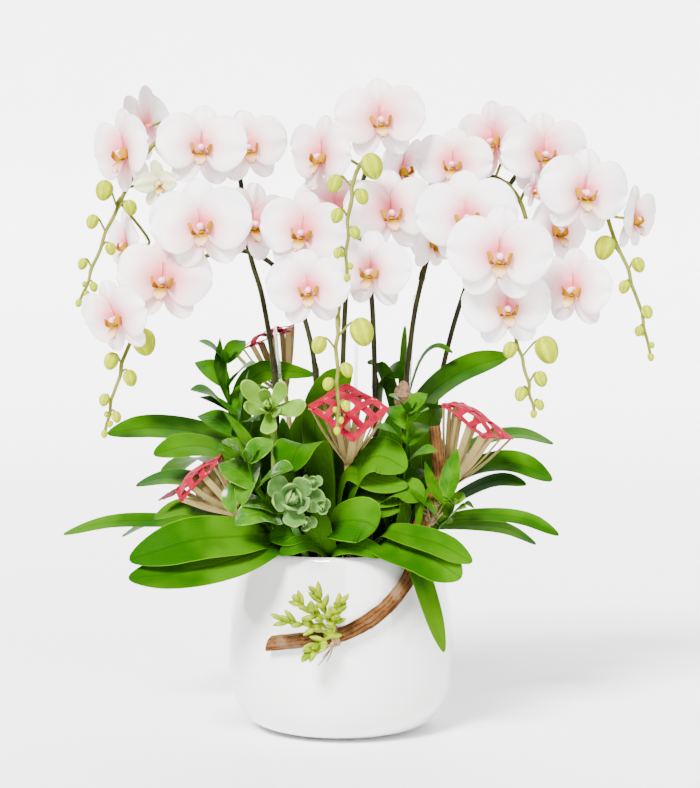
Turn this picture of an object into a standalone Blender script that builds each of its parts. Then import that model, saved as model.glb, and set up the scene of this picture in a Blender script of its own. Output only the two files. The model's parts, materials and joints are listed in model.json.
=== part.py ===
"""Potted moth orchid: six flower spikes, their leaves and small companion plants in one glazed pot.

Metres, +Z up. The origin is at the middle of the pot's flat underside. -Y is the front.
The plants are laid out as seen from the front: seen(x, z, y) takes x and z in millimetres where
the line of sight meets the plane of the pot's axis, and y as the depth behind that plane.
"""

import math
import random

import bmesh
import bpy
from mathutils import Matrix, Vector

MM = 0.001
GAP = 0.0003

# The place that the layout is seen from: level with the leaves, 1.8 m in front of the pot.
EYE = Vector((0.009, -1.8, 0.400))

# Pot: outer radius by height, from the flat underside to the rim, and the wall behind it.
POT_OUTSIDE = (
    (0.1020, 0.1780),
    (0.1050, 0.1510),
    (0.1110, 0.1100),
    (0.1130, 0.0680),
    (0.1095, 0.0370),
    (0.1000, 0.0180),
    (0.0850, 0.0055),
    (0.0600, 0.0),
)
POT_RIM = ((0.0965, 0.1780), (0.0992, 0.1812))
POT_INSIDE = ((0.0830, 0.0180), (0.1050, 0.0500), (0.1030, 0.1300))
POT_FLOOR = 0.0140
POT_SIDES = 28

# Bark mix in the pot, and the depth that stems stand in it.
SOIL_TOP = 0.1680
SOIL_EDGE = 0.1640
HOLE_FLOOR = 0.1300
HOLE_SIDES = 4

# Flower: thickness of its blades and the ring where its five tepals meet the stalk.
TEPAL_THICK = 0.0009
BOSS_BACK = 0.065
PEDICEL_RADIUS = 0.0013

# Half-open flowers: their tepals grow narrower from this tilt on, over this many degrees more.
CLOSING_FROM = 12
CLOSING_RANGE = 44

# Leaf blades of the orchid plants and where their cross-sections lie along them.
LEAF_THICK = 0.0020
SPRIG_THICK = 0.0009
SPRIG_RADIUS = 0.0018
SPRIG_LEAN = 38
ROSETTE_STEM = 0.0034
LEAF_STEPS = (0.0, 0.18, 0.40, 0.66, 0.88, 1.0)
LEAF_PITCH = 0.006
STEM_RADIUS = 0.0075
LEVEL_SLACK = 0.00002
SPRIG_STEPS = (0.0, 0.5, 1.0)

# Flower spikes: foot in the soil (x, y), then the stem's way up and over, as (x, z, y) in mm,
# the share of the way at which the bud tail starts, and the depth at which the stem leaves the soil.
SPIKES = {
    "flower_spike_1": {
        "foot": (-0.050, 0.012),
        "way": ((-62, 250, 14), (-66, 347, 16), (-78, 427, 20), (-90, 470, 22), (-97, 520, 20),
                (-104, 562, 18), (-124, 590, 16), (-156, 597, 10), (-186, 582, 2), (-208, 548, -8),
                (-226, 512, -32), (-240, 480, -48), (-251, 450, -54), (-262, 424, -56)),
    },
    "flower_spike_2": {
        "foot": (-0.026, -0.012),
        "way": ((-25, 250, -8), (-25, 345, -5), (-34, 400, -3), (-50, 440, 2), (-76, 468, 6),
                (-110, 477, 4), (-144, 466, -6), (-175, 442, -20), (-200, 412, -34),
                (-213, 380, -42), (-223, 348, -46), (-231, 320, -47), (-237, 293, -47)),
    },
    "flower_spike_3": {
        "foot": (-0.003, 0.030),
        "way": ((0, 250, 25), (1, 330, 22), (4, 417, 18), (9, 480, 18), (18, 530, 14),
                (24, 553, -4), (25, 558, -30), (24, 561, -60), (17, 560, -86), (12, 540, -100),
                (8, 510, -108), (6, 480, -114), (6, 449, -116)),
    },
    "flower_spike_4": {
        "foot": (0.028, 0.010),
        "way": ((33, 250, 8), (34, 332, 6), (32, 407, 4), (28, 455, 4), (22, 484, -6),
                (12, 480, -34), (3, 450, -58), (-2, 420, -76), (-4, 392, -90), (-4, 360, -102),
                (-3, 325, -114), (-4, 296, -120)),
    },
    "flower_spike_5": {
        "foot": (0.058, -0.006),
        "way": ((62, 250, -4), (64, 327, -3), (71, 397, -2), (79, 440, 0), (90, 480, 4),
                (106, 520, 8), (128, 547, 14), (154, 549, 6), (176, 530, -12), (187, 495, -32),
                (186, 460, -46), (180, 425, -54), (174, 398, -62), (181, 367, -72),
                (188, 340, -76), (193, 313, -76)),
    },
    "flower_spike_6": {
        "foot": (0.066, 0.046),
        "way": ((84, 250, 70), (96, 330, 82), (112, 400, 80), (132, 460, 68), (156, 520, 50),
                (184, 562, 30), (216, 580, 16), (244, 566, 2), (260, 535, -10), (268, 502, -22),
                (281, 470, -34), (294, 434, -42), (303, 402, -44), (310, 370, -44)),
    },
}
SPIKE_RADIUS = (0.0030, 0.0013)
BUD_STALK_RADIUS = 0.0010

# Buds: spike, place (x, z, y) in mm, length of the bud in mm. The big ones are rounder.
BIG_BUD = 19
BUDS = (
    ("flower_spike_1", (-236, 536, -44), 21),
    ("flower_spike_1", (-210, 519, -42), 16),
    ("flower_spike_1", (-248, 505, -52), 15),
    ("flower_spike_1", (-230, 478, -60), 13),
    ("flower_spike_1", (-258, 463, -58), 12),
    ("flower_spike_1", (-247, 440, -62), 10),
    ("flower_spike_2", (-197, 385, -54), 28),
    ("flower_spike_2", (-230, 366, -52), 18),
    ("flower_spike_2", (-211, 349, -52), 17),
    ("flower_spike_2", (-237, 327, -54), 13),
    ("flower_spike_2", (-225, 310, -52), 12),
    ("flower_spike_3", (31, 560, -94), 26),
    ("flower_spike_3", (-6, 543, -106), 18),
    ("flower_spike_3", (21, 530, -110), 16),
    ("flower_spike_3", (-4, 511, -114), 15),
    ("flower_spike_3", (14, 494, -118), 13),
    ("flower_spike_3", (-3, 474, -120), 11),
    ("flower_spike_4", (21, 395, -102), 28),
    ("flower_spike_4", (-22, 382, -102), 18),
    ("flower_spike_4", (6, 357, -112), 15),
    ("flower_spike_4", (-13, 343, -118), 13),
    ("flower_spike_4", (5, 321, -124), 11),
    ("flower_spike_5", (169, 377, -76), 17),
    ("flower_spike_5", (206, 377, -72), 28),
    ("flower_spike_5", (200, 348, -80), 16),
    ("flower_spike_5", (180, 333, -82), 15),
    ("flower_spike_5", (199, 322, -80), 11),
    ("flower_spike_6", (263, 479, -40), 25),
    ("flower_spike_6", (297, 462, -38), 16),
    ("flower_spike_6", (283, 440, -46), 14),
    ("flower_spike_6", (306, 415, -48), 14),
    ("flower_spike_6", (298, 396, -50), 11),
)

# Blooms: spike, place (x, z, y) in mm, width in mm, then the degrees that it is turned to the
# right, nods and leans, how far its tepals close forward, and whether it faces the front.
BLOOMS = {
    "bloom_01": ("flower_spike_1", (-214, 574, -43), 92, -50, 8, 6, 4, True),
    "bloom_02": ("flower_spike_1", (-192, 600, 26), 88, -118, 6, -8, 0, False),
    "bloom_03": ("flower_spike_1", (-139, 579, -52), 88, 2, 4, -4, 0, True),
    "bloom_04": ("flower_spike_1", (-93, 579, -10), 80, 14, 4, 8, 2, False),
    "bloom_05": ("flower_spike_1", (-180, 544, -60), 54, -12, 16, 4, 34, False),
    "bloom_06": ("flower_spike_2", (-139, 501, -78), 98, -4, 6, 5, 0, True),
    "bloom_07": ("flower_spike_2", (-90, 503, -36), 88, 38, 4, -6, 2, False),
    "bloom_08": ("flower_spike_2", (-177, 447, -58), 94, -8, 6, -5, 0, True),
    "bloom_09": ("flower_spike_2", (-224, 409, -84), 82, -34, 18, 10, 3, True),
    "bloom_10": ("flower_spike_1", (-212, 482, 10), 78, -58, 10, 0, 6, False),
    "bloom_11": ("flower_spike_3", (39, 606, -46), 88, 6, 2, 4, 0, True),
    "bloom_12": ("flower_spike_3", (-18, 570, -36), 86, -48, 6, -6, 3, True),
    "bloom_13": ("flower_spike_3", (60, 558, 0), 80, 62, 14, 8, 0, False),
    "bloom_14": ("flower_spike_4", (-38, 494, -58), 88, -14, 4, -8, 0, True),
    "bloom_15": ("flower_spike_4", (-32, 438, -90), 82, -6, 8, 4, 0, True),
    "bloom_16": ("flower_spike_4", (49, 514, -62), 90, 12, 4, 5, 0, True),
    "bloom_17": ("flower_spike_4", (31, 456, -86), 84, -30, 10, -6, 2, True),
    "bloom_18": ("flower_spike_3", (-6, 516, -8), 84, -8, 2, 0, 0, False),
    "bloom_19": ("flower_spike_5", (92, 484, -20), 62, 40, 14, 0, 0, False),
    "bloom_20": ("flower_spike_5", (153, 585, -12), 86, -40, 6, 6, 2, True),
    "bloom_21": ("flower_spike_5", (112, 562, -22), 78, -16, 4, -4, 0, False),
    "bloom_22": ("flower_spike_6", (202, 572, -42), 88, 12, 4, 4, 0, True),
    "bloom_23": ("flower_spike_6", (242, 534, -66), 92, 14, 6, -6, 0, True),
    "bloom_24": ("flower_spike_6", (292, 508, -4), 72, 56, 8, 4, 8, False),
    "bloom_25": ("flower_spike_5", (126, 509, -76), 98, -6, 4, 5, 0, True),
    "bloom_26": ("flower_spike_5", (158, 471, -110), 100, 0, 6, -4, 0, True),
    "bloom_27": ("flower_spike_5", (166, 419, -82), 86, 2, 8, 4, 0, True),
    "bloom_28": ("flower_spike_5", (233, 438, -80), 84, -36, 10, -6, 2, True),
    "bloom_29": ("flower_spike_5", (214, 497, -22), 82, 40, 4, 0, 4, False),
    "bloom_30": ("flower_spike_5", (192, 536, -44), 40, 18, 8, 10, 38, True),
}

# Orchid plants: foot in the soil (x, y), height of the leaf crown, and the leaves. A leaf has its
# way from the crown to its tip as (x, z, y) in mm, its width in mm and its lean in degrees.
PLANTS = {
    "orchid_leaves_1": ((-0.058, 0.034), 0.205, (
        (((-76, 258, 30), (-124, 290, 12), (-188, 300, -6), (-234, 293, -14)), 44, -30),
        (((-78, 240, 16), (-112, 272, -17), (-150, 282, -40), (-188, 272, -52)), 42, -30),
        (((-84, 262, 48), (-100, 318, 40), (-82, 356, 37), (-26, 352, 37)), 30, 60),
        (((-96, 240, 60), (-136, 270, 96), (-160, 264, 130), (-176, 244, 152)), 46, 0),
        (((-72, 232, 72), (-104, 262, 122), (-128, 256, 168), (-140, 228, 196)), 46, 0),
    )),
    "orchid_leaves_2": ((-0.062, -0.038), 0.196, (
        (((-90, 215, -32), (-136, 242, -24), (-172, 250, -20), (-206, 241, -18)), 38, -20),
        (((-110, 204, -24), (-174, 205, -8), (-231, 205, -4), (-279, 192, -6)), 26, -12),
        (((-79, 190, -84), (-106, 190, -110), (-150, 187, -128), (-213, 166, -134)), 52, -42),
        (((-66, 184, -84), (-104, 168, -118), (-161, 154, -138), (-214, 148, -142)), 48, -34),
        (((-94, 206, -8), (-140, 214, 14), (-186, 208, 30), (-220, 190, 38)), 40, 0),
        (((-94, 207, -40), (-128, 216, -44), (-160, 219, -46), (-188, 208, -48)), 34, -24),
    )),
    "orchid_leaves_3": ((-0.006, -0.060), 0.200, (
        (((-20, 250, -66), (-34, 284, -84), (-46, 276, -104), (-52, 254, -110)), 54, 0),
        (((-12, 200, -84), (4, 206, -104), (22, 206, -114), (36, 198, -118)), 48, 58),
        (((8, 232, -72), (20, 262, -84), (40, 272, -90), (66, 257, -92)), 44, 48),
        (((-14, 226, -44), (-26, 300, -34), (-14, 336, -30), (10, 356, -28)), 40, 64),
        (((-10, 230, -30), (-8, 270, -18), (-2, 300, -12), (6, 318, -10)), 44, 80),
    )),
    "orchid_leaves_4": ((0.050, -0.058), 0.204, (
        (((57, 190, -94), (73, 166, -116), (90, 120, -109), (104, 73, -99)), 29, 0),
        (((40, 184, -94), (59, 176, -116), (89, 169, -126), (121, 148, -128)), 48, 36),
        (((44, 196, -98), (68, 191, -118), (100, 182, -126), (132, 164, -124)), 29, 34),
        (((44, 222, -72), (52, 233, -86), (66, 237, -92), (84, 228, -96)), 34, 30),
        (((24, 234, -34), (14, 266, -24), (18, 284, -28), (30, 274, -38)), 42, 0),
    )),
    "orchid_leaves_5": ((0.076, 0.012), 0.204, (
        (((92, 240, 10), (130, 280, 6), (176, 294, 4), (213, 283, 2)), 36, 8),
        (((94, 232, -6), (134, 260, -13), (176, 264, -20), (212, 246, -26)), 40, 28),
        (((98, 214, -2), (128, 238, -8), (158, 250, -14), (186, 243, -20)), 30, 12),
        (((98, 206, -20), (140, 212, -34), (184, 208, -40), (219, 191, -44)), 28, 8),
        (((94, 200, 20), (130, 202, 22), (166, 198, 24), (196, 182, 26)), 28, 0),
        (((80, 240, -6), (84, 290, -8), (92, 318, -12), (104, 322, -18)), 40, 0),
    )),
    "orchid_leaves_6": ((0.034, 0.062), 0.212, (
        (((58, 282, 44), (84, 328, 40), (122, 357, 34), (169, 371, 26)), 50, 36),
        (((38, 280, 64), (40, 340, 50), (52, 358, 40), (66, 350, 34)), 34, 30),
        (((70, 230, 90), (104, 262, 124), (132, 272, 156), (152, 262, 180)), 44, 0),
        (((44, 230, 92), (64, 262, 132), (84, 254, 178), (96, 222, 206)), 48, 0),
    )),
    "orchid_leaves_7": ((-0.016, 0.072), 0.206, (
        (((-14, 226, 92), (-10, 256, 134), (-6, 248, 182), (-4, 216, 212)), 50, 0),
        (((-30, 216, 88), (-52, 236, 118), (-72, 226, 156), (-84, 196, 178)), 46, 0),
        (((8, 216, 92), (34, 232, 124), (56, 222, 160), (70, 192, 182)), 42, 0),
    )),
}

# Companion rosettes: foot in the soil, crown (x, z, y) in mm, facing (turned right, nod) in degrees,
# leaf length and width in mm, number of leaves, steepness of the outer and of the inner leaves.
ROSETTES = {
    "ghost_plant": ((-0.066, 0.004), (-72, 318, -62), (-6, -18), 39, 19, 9, 12, 66),
    "echeveria": ((-0.032, -0.080), (-49, 226, -126), (4, -14), 31, 22, 11, 8, 74),
}

# Leafy sprigs: foot in the soil, stem way (x, z, y) in mm, leaf length and width in mm, leaf pairs.
SPRIGS = {
    "leafy_sprig_left": ((-0.074, 0.022), ((-100, 269, -33), (-112, 316, -27), (-115, 364, -25)), 46, 24, 5),
    "leafy_sprig_right": ((0.046, -0.030), ((62, 244, -62), (66, 282, -80), (67, 314, -84)), 37, 20, 5),
    "variegated_sprig": ((-0.042, -0.070), ((-66, 214, -92), (-85, 238, -110), (-93, 264, -113)), 43, 29, 3),
    "pilea": ((0.082, -0.034), ((99, 202, -56), (109, 210, -78), (114, 222, -92)), 21, 16, 3),
}

# Woven bamboo picks: foot, waist where the strips meet, the four corners of the woven head.
PICKS = {
    "bamboo_pick_left": ((-0.078, -0.044), (-103, 211, -62),
                         ((-160, 226, -84), (-164, 238, -60), (-120, 272, -46), (-126, 262, -74))),
    "bamboo_pick_back": ((-0.036, 0.050), (-56, 330, 58),
                         ((-108, 374, 46), (-80, 384, 82), (-48, 402, 84), (-52, 396, 44))),
    "bamboo_pick_centre": ((0.006, -0.036), (7, 262, -62),
                           ((-32, 320, -94), (5, 342, -62), (47, 318, -90), (12, 286, -110))),
    "bamboo_pick_right": ((0.070, -0.030), (108, 238, -30),
                          ((102, 322, -54), (120, 324, -30), (172, 288, -60), (142, 290, -88))),
}

# Each head has this many windows a side; the strips' share of a window's pitch, and their size.
PICK_WINDOWS = 2
PICK_STRIP = 0.16
PICK_WIDTH = 0.0045
STRIP_THICK = 0.0010

# Vine branch: its way down over the rim and round the front of the pot, x and z in mm, and where
# it stands clear of the pot its depth too.
BRANCH_RADIUS = 0.0075
BRANCH_CLEAR = 0.0008
BRANCH_ABOVE = ((94, 301, -66), (97, 270, -68), (98, 242, -70), (91, 224, -74), (81, 206, -79),
                (77, 186, -86))
BRANCH_ON_POT = ((72, 158), (59, 134), (34, 109), (0, 91), (-41, 85), (-72, 82))

# Stonecrop sprig tied to the branch: its foot as seen from the front and the reach of its arms, in mm.
STONECROP_FOOT = (-4, 90)
STONECROP_LIFT = 0.0030
STONECROP_ARMS = ((-18, 40, -6), (-50, 16, -8), (-36, 34, -14), (2, 30, -12), (-26, -14, -10))
STONECROP_STEM = 0.0011
STONECROP_LEAVES = 4

STAKES = {
    "stake_left": ((-0.044, 0.024), (-66, 400, 22)),
    "stake_centre": ((0.012, 0.018), (16, 400, 10)),
    "stake_right": ((0.058, 0.006), (74, 432, 8)),
}
STAKE_RADIUS = 0.0016


def seen(x, z, y=0.0):
    """The place that shows at x, z (mm, in the plane of the pot's axis) and lies y mm behind it."""
    spread = 1 + y * MM / -EYE.y
    return Vector((EYE.x + (x * MM - EYE.x) * spread, y * MM, EYE.z + (z * MM - EYE.z) * spread))


def clear_scene():
    for old in list(bpy.data.objects):
        bpy.data.objects.remove(old, do_unlink=True)


def new_collection(name):
    group = bpy.data.collections.new(name)
    bpy.context.scene.collection.children.link(group)
    return group


def material(name, colour, roughness, metallic=0.0):
    finish = bpy.data.materials.new(name)
    finish.use_nodes = True
    shader = finish.node_tree.nodes["Principled BSDF"]
    shader.inputs["Base Color"].default_value = (*colour, 1)
    shader.inputs["Roughness"].default_value = roughness
    shader.inputs["Metallic"].default_value = metallic
    finish.diffuse_color = (*colour, 1)
    return finish


def smooth_way(points, steps):
    """Points on one smooth curve through all the given ones, with so many steps between each two."""
    ends = [2 * points[0] - points[1], *points, 2 * points[-1] - points[-2]]
    way = []
    for before, start, stop, after in zip(ends, ends[1:], ends[2:], ends[3:]):
        for step in range(steps):
            t = step / steps
            way.append(0.5 * (2 * start + (stop - before) * t
                              + (2 * before - 5 * start + 4 * stop - after) * t * t
                              + (3 * start - before - 3 * stop + after) * t ** 3))
    way.append(points[-1])
    return way


def evaluated_mesh(piece):
    bpy.context.view_layer.update()
    return bpy.data.meshes.new_from_object(piece.evaluated_get(bpy.context.evaluated_depsgraph_get()))


def tube(points, radii, roundness=1):
    """A closed tube along the points, as a loose mesh; roundness 0 has 4 sides, 1 has 6."""
    curve = bpy.data.curves.new("Tube", "CURVE")
    curve.dimensions = "3D"
    curve.bevel_depth = 1.0
    curve.bevel_resolution = roundness
    curve.use_fill_caps = True
    line = curve.splines.new("POLY")
    line.points.add(len(points) - 1)
    for knot, place, radius in zip(line.points, points, radii):
        knot.co = (*place, 1)
        knot.radius = radius
    wire = bpy.data.objects.new("Tube", curve)
    bpy.context.scene.collection.objects.link(wire)
    mesh = evaluated_mesh(wire)
    bpy.data.objects.remove(wire)
    bpy.data.curves.remove(curve)
    bm = bmesh.new()
    bm.from_mesh(mesh)
    bmesh.ops.remove_doubles(bm, verts=bm.verts, dist=1e-6)
    bmesh.ops.recalc_face_normals(bm, faces=bm.faces)
    bm.to_mesh(mesh)
    bm.free()
    return mesh


def ball(centre, along, length, width, depth, sides=5, rings=4, heavy_end=0.0):
    """A closed ball stretched along a direction; heavy_end moves its widest part towards the tip."""
    bm = bmesh.new()
    bmesh.ops.create_uvsphere(bm, u_segments=sides, v_segments=rings, radius=1)
    turn = along.to_track_quat("Z", "Y").to_matrix()
    for vert in bm.verts:
        x, y, z = vert.co
        swell = 1 + heavy_end * z
        local = Vector((x * swell * width / 2, y * swell * depth / 2, z * length / 2))
        vert.co = centre + turn @ local
    mesh = bpy.data.meshes.new("Ball")
    bm.to_mesh(mesh)
    bm.free()
    return mesh


def fuse(name, meshes, finish, group, solver="MANIFOLD"):
    """One object from closed meshes that run into each other, by one union on a collection."""
    others = new_collection("Fuse")
    for mesh in meshes[1:]:
        others.objects.link(bpy.data.objects.new("Piece", mesh))
    whole = bpy.data.objects.new(name, meshes[0])
    bpy.context.scene.collection.objects.link(whole)
    if len(meshes) > 1:
        join = whole.modifiers.new("Join", "BOOLEAN")
        join.operation = "UNION"
        join.operand_type = "COLLECTION"
        join.collection = others
        join.solver = solver
        joined = evaluated_mesh(whole)
        whole.modifiers.clear()
        whole.data = joined
    for piece in list(others.objects):
        bpy.data.objects.remove(piece, do_unlink=True)
    bpy.data.collections.remove(others)
    bpy.context.scene.collection.objects.unlink(whole)
    group.objects.link(whole)
    whole.data.name = name
    whole.data.materials.clear()
    whole.data.materials.append(finish)
    return whole


def turned(name, profile, sides, group, finish):
    """A solid of revolution from a profile that runs up the inside and down the outside."""
    mesh = bpy.data.meshes.new(name)
    bm = bmesh.new()
    verts = [bm.verts.new((radius, 0, height)) for radius, height in profile]
    for first, second in zip(verts, verts[1:]):
        bm.edges.new((first, second))
    bm.to_mesh(mesh)
    bm.free()
    piece = bpy.data.objects.new(name, mesh)
    group.objects.link(piece)
    spin = piece.modifiers.new("Screw", "SCREW")
    spin.steps = sides
    spin.render_steps = sides
    spin.use_merge_vertices = True
    spin.merge_threshold = 1e-5
    mesh.materials.append(finish)
    return piece


def build_pot(group, finish):
    profile = ((0.0, POT_FLOOR), *POT_INSIDE, *POT_RIM, *POT_OUTSIDE, (0.0, 0.0))
    return turned("pot", profile, POT_SIDES, group, finish)


def build_soil(group, cutters, finish, feet):
    """The bark mix fills the pot up to just under its rim, with a plain hole for each stem."""
    wall = [(radius - GAP, height) for radius, height in reversed(POT_INSIDE)]
    profile = ((0.0, SOIL_TOP), (0.055, SOIL_TOP - 0.001), (0.0965 - GAP, SOIL_EDGE), *wall,
               (0.0, POT_FLOOR + GAP))
    soil = turned("bark_mix", profile, POT_SIDES, group, finish)
    bores = []
    for (x, y), radius in feet:
        bm = bmesh.new()
        bmesh.ops.create_cone(bm, cap_ends=True, segments=HOLE_SIDES, radius1=radius, radius2=radius,
                              depth=0.1, matrix=Matrix.Translation((x, y, HOLE_FLOOR - GAP + 0.05)))
        mesh = bpy.data.meshes.new("Bore")
        bm.to_mesh(mesh)
        bm.free()
        bore = bpy.data.objects.new("bore", mesh)
        bore.hide_render = True
        bore.display_type = "WIRE"
        cutters.objects.link(bore)
        bores.append(bore)
    cut = soil.modifiers.new("Holes", "BOOLEAN")
    cut.operation = "DIFFERENCE"
    cut.operand_type = "COLLECTION"
    cut.collection = cutters
    return soil


def hole_radius(stem_radius):
    """A hole whose flat sides clear a round stem by the gap."""
    return (stem_radius + GAP) / math.cos(math.pi / HOLE_SIDES)


def foot_points(foot):
    x, y = foot
    return [Vector((x, y, HOLE_FLOOR)), Vector((x, y, SOIL_TOP + 0.006))]


def tilted(flat, lift, heading, tilt):
    """Closes a tepal forward by its tilt, about the flower's middle, along its own heading."""
    along = Vector((math.cos(math.radians(heading)), math.sin(math.radians(heading))))
    out = flat.dot(along)
    sideways = flat - along * out
    slope = math.radians(tilt)
    near = along * (out * math.cos(slope) - lift * math.sin(slope)) + sideways
    return Vector((near.x, near.y, lift * math.cos(slope) + out * math.sin(slope)))


def petal_point(u, v, side, tilt, wave):
    """A point of a petal, in flower widths: u out from its claw to its rim, v from low to high."""
    round_out = math.sin(math.pi * min(1, 0.10 + 0.81 * u)) ** 0.62
    full = 1 - max(0, tilt - CLOSING_FROM) / CLOSING_RANGE
    low, high = 0.020 - 0.275 * round_out * full, 0.050 + 0.292 * round_out * full
    high += 0.02 * u
    flat = Vector((0.045 + 0.455 * u, low + (high - low) * (v + 1) / 2))
    lift = 0.010 + 0.034 * math.sin(math.pi * u) - 0.022 * u + wave * 0.020 * u * v
    flat.x *= side
    return tilted(flat, lift, 0 if side > 0 else 180, tilt)


def sepal_point(u, v, heading, length, width, tilt):
    """A point of a sepal, in flower widths, behind the petals."""
    full = 1 - max(0, tilt - CLOSING_FROM) / CLOSING_RANGE
    half = width / 2 * math.sin(math.pi * (0.04 + 0.86 * u) ** 1.1) * full
    angle = math.radians(heading)
    along = Vector((math.cos(angle), math.sin(angle)))
    across = Vector((along.y, -along.x))
    flat = along * (0.045 + (length - 0.045) * u) - across * (half * v)
    return tilted(flat, -0.010 - 0.030 * u, heading, tilt * 0.8)


def lip_point(u, v):
    """A point of the lip's middle lobe, which stands forward and hangs down."""
    half = 0.022 + 0.070 * math.sin(math.pi * u ** 1.2) * (1 - 0.4 * u)
    return Vector((half * v, -0.045 - 0.155 * u, 0.012 + 0.135 * math.sin(1.9 * u)))


def grow(bm, face, stations):
    """Extrudes a level side face into a blade, through stations of (left, right, half thickness).

    Both faces of the blade are split along the same diagonal.
    """
    across = stations[0][1] - stations[0][0]
    by_height = sorted(face.verts, key=lambda vert: vert.co.z)
    low = sorted(by_height[:2], key=lambda vert: vert.co.dot(across))
    high = sorted(by_height[2:], key=lambda vert: vert.co.dot(across))
    ring = low + high
    for left, right, rise in stations:
        face = bmesh.ops.extrude_discrete_faces(bm, faces=[face])["faces"][0]
        new = [min(face.verts, key=lambda vert: (vert.co - old.co).length) for old in ring]
        for vert, place in zip(new, (left - rise, right - rise, left + rise, right + rise)):
            vert.co = place
        for first, second in ((ring[0], new[1]), (ring[2], new[3])):
            shared = [side for side in first.link_faces if second in side.verts]
            bmesh.utils.face_split(shared[0], first, second)
        ring = new


def rising_stem(bm, levels, sides):
    """A closed stem of level rings from its foot up; each level is its centre and radius."""
    bmesh.ops.create_cone(bm, cap_ends=True, segments=sides, radius1=1, radius2=1, depth=2)
    foot = min(bm.faces, key=lambda side: side.calc_center_median().z)
    face = max(bm.faces, key=lambda side: side.calc_center_median().z)
    centre = Vector()
    for number, (place, radius) in enumerate(levels):
        if number > 1:
            face = bmesh.ops.extrude_discrete_faces(bm, faces=[face])["faces"][0]
        ring = foot if number == 0 else face
        for vert in ring.verts:
            flat = (vert.co - centre).to_2d().normalized() * radius
            vert.co = (place.x + flat.x, place.y + flat.y, place.z)
        if number:
            centre = place


def side_face(bm, middle, heading):
    """The stem's side face at this place that looks along a heading, in degrees from +X."""
    toward = Vector((math.cos(math.radians(heading)), math.sin(math.radians(heading)), 0))
    level = min(abs(face.calc_center_median().z - middle.z) for face in bm.faces)
    ring = [face for face in bm.faces if abs(face.calc_center_median().z - middle.z) < level + LEVEL_SLACK]
    return max(ring, key=lambda face: face.calc_center_median().dot(toward))


def mesh_of(bm, name):
    bmesh.ops.recalc_face_normals(bm, faces=bm.faces)
    mesh = bpy.data.meshes.new(name)
    bm.to_mesh(mesh)
    bm.free()
    return mesh


def place_mesh(name, mesh, finish, group):
    piece = bpy.data.objects.new(name, mesh)
    mesh.materials.append(finish)
    group.objects.link(piece)
    return piece


def bloom_matrix(place, turn, nod, lean):
    """A flower's own frame: x to its right, y up, z the way that it faces."""
    return (Matrix.Translation(place) @ Matrix.Rotation(math.radians(turn), 4, "Z")
            @ Matrix.Rotation(math.radians(90 + nod), 4, "X") @ Matrix.Rotation(math.radians(lean), 4, "Z"))


def bloom_levels(size):
    """The flower's six-sided middle: boss, sepal band, petal band and column, from back to front."""
    rings = ((-BOSS_BACK, 0.022), (-0.016, 0.042), (-0.006, 0.045), (0.005, 0.045), (0.015, 0.045),
             (0.100, 0.030))
    return [(Vector((0, 0, height * size)), radius * size) for height, radius in rings]


def build_bloom(name, spec, number, group, finish):
    spike, place, width, turn, nod, lean, tilt, front = spec
    draw = random.Random(100 + number)
    size = width * MM
    rise = Vector((0, 0, TEPAL_THICK / 2))
    steps = 3 if front else 2
    petal_steps = (0.14, 0.45, 0.80, 1.0) if front else (0.22, 0.72, 1.0)
    bm = bmesh.new()
    rising_stem(bm, bloom_levels(size), 6)
    faces = {}
    for heading, height in ((30, 0.010), (150, 0.010), (270, 0.010), (90, -0.011), (210, -0.011),
                            (330, -0.011)):
        faces[heading] = side_face(bm, Vector((0, 0, height * size)), heading)
    for side, heading in ((1, 30), (-1, 150)):
        own_tilt, wave = tilt + draw.uniform(-3, 5), draw.uniform(-1, 1)
        grow(bm, faces[heading], [(petal_point(u, -1, side, own_tilt, wave) * size,
                                   petal_point(u, 1, side, own_tilt, wave) * size, rise)
                                  for u in petal_steps])
    for face_at, heading, length, wide in ((90, 90, 0.48, 0.33), (210, -126, 0.46, 0.29),
                                           (330, -54, 0.46, 0.29)):
        own_heading, own_tilt = heading + draw.uniform(-2, 2), tilt + draw.uniform(-5, 2)
        grow(bm, faces[face_at],
             [(sepal_point(step / steps, -1, own_heading, length, wide, own_tilt) * size,
               sepal_point(step / steps, 1, own_heading, length, wide, own_tilt) * size, rise)
              for step in range(1, steps + 1)])
    grow(bm, faces[270], [(lip_point(u, -1) * size, lip_point(u, 1) * size, rise) for u in (0.3, 0.6, 1.0)])
    bloom = place_mesh(name, mesh_of(bm, name), finish, group)
    bloom.matrix_world = bloom_matrix(seen(*place), turn, nod, lean)
    return bloom


def nearest_on(way, place, rise=0.0):
    """The way's point that a stalk to this place leaves from: a little above the nearest one."""
    best = min(range(len(way)), key=lambda index: (way[index] + Vector((0, 0, rise)) - place).length)
    return way[best]


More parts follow.
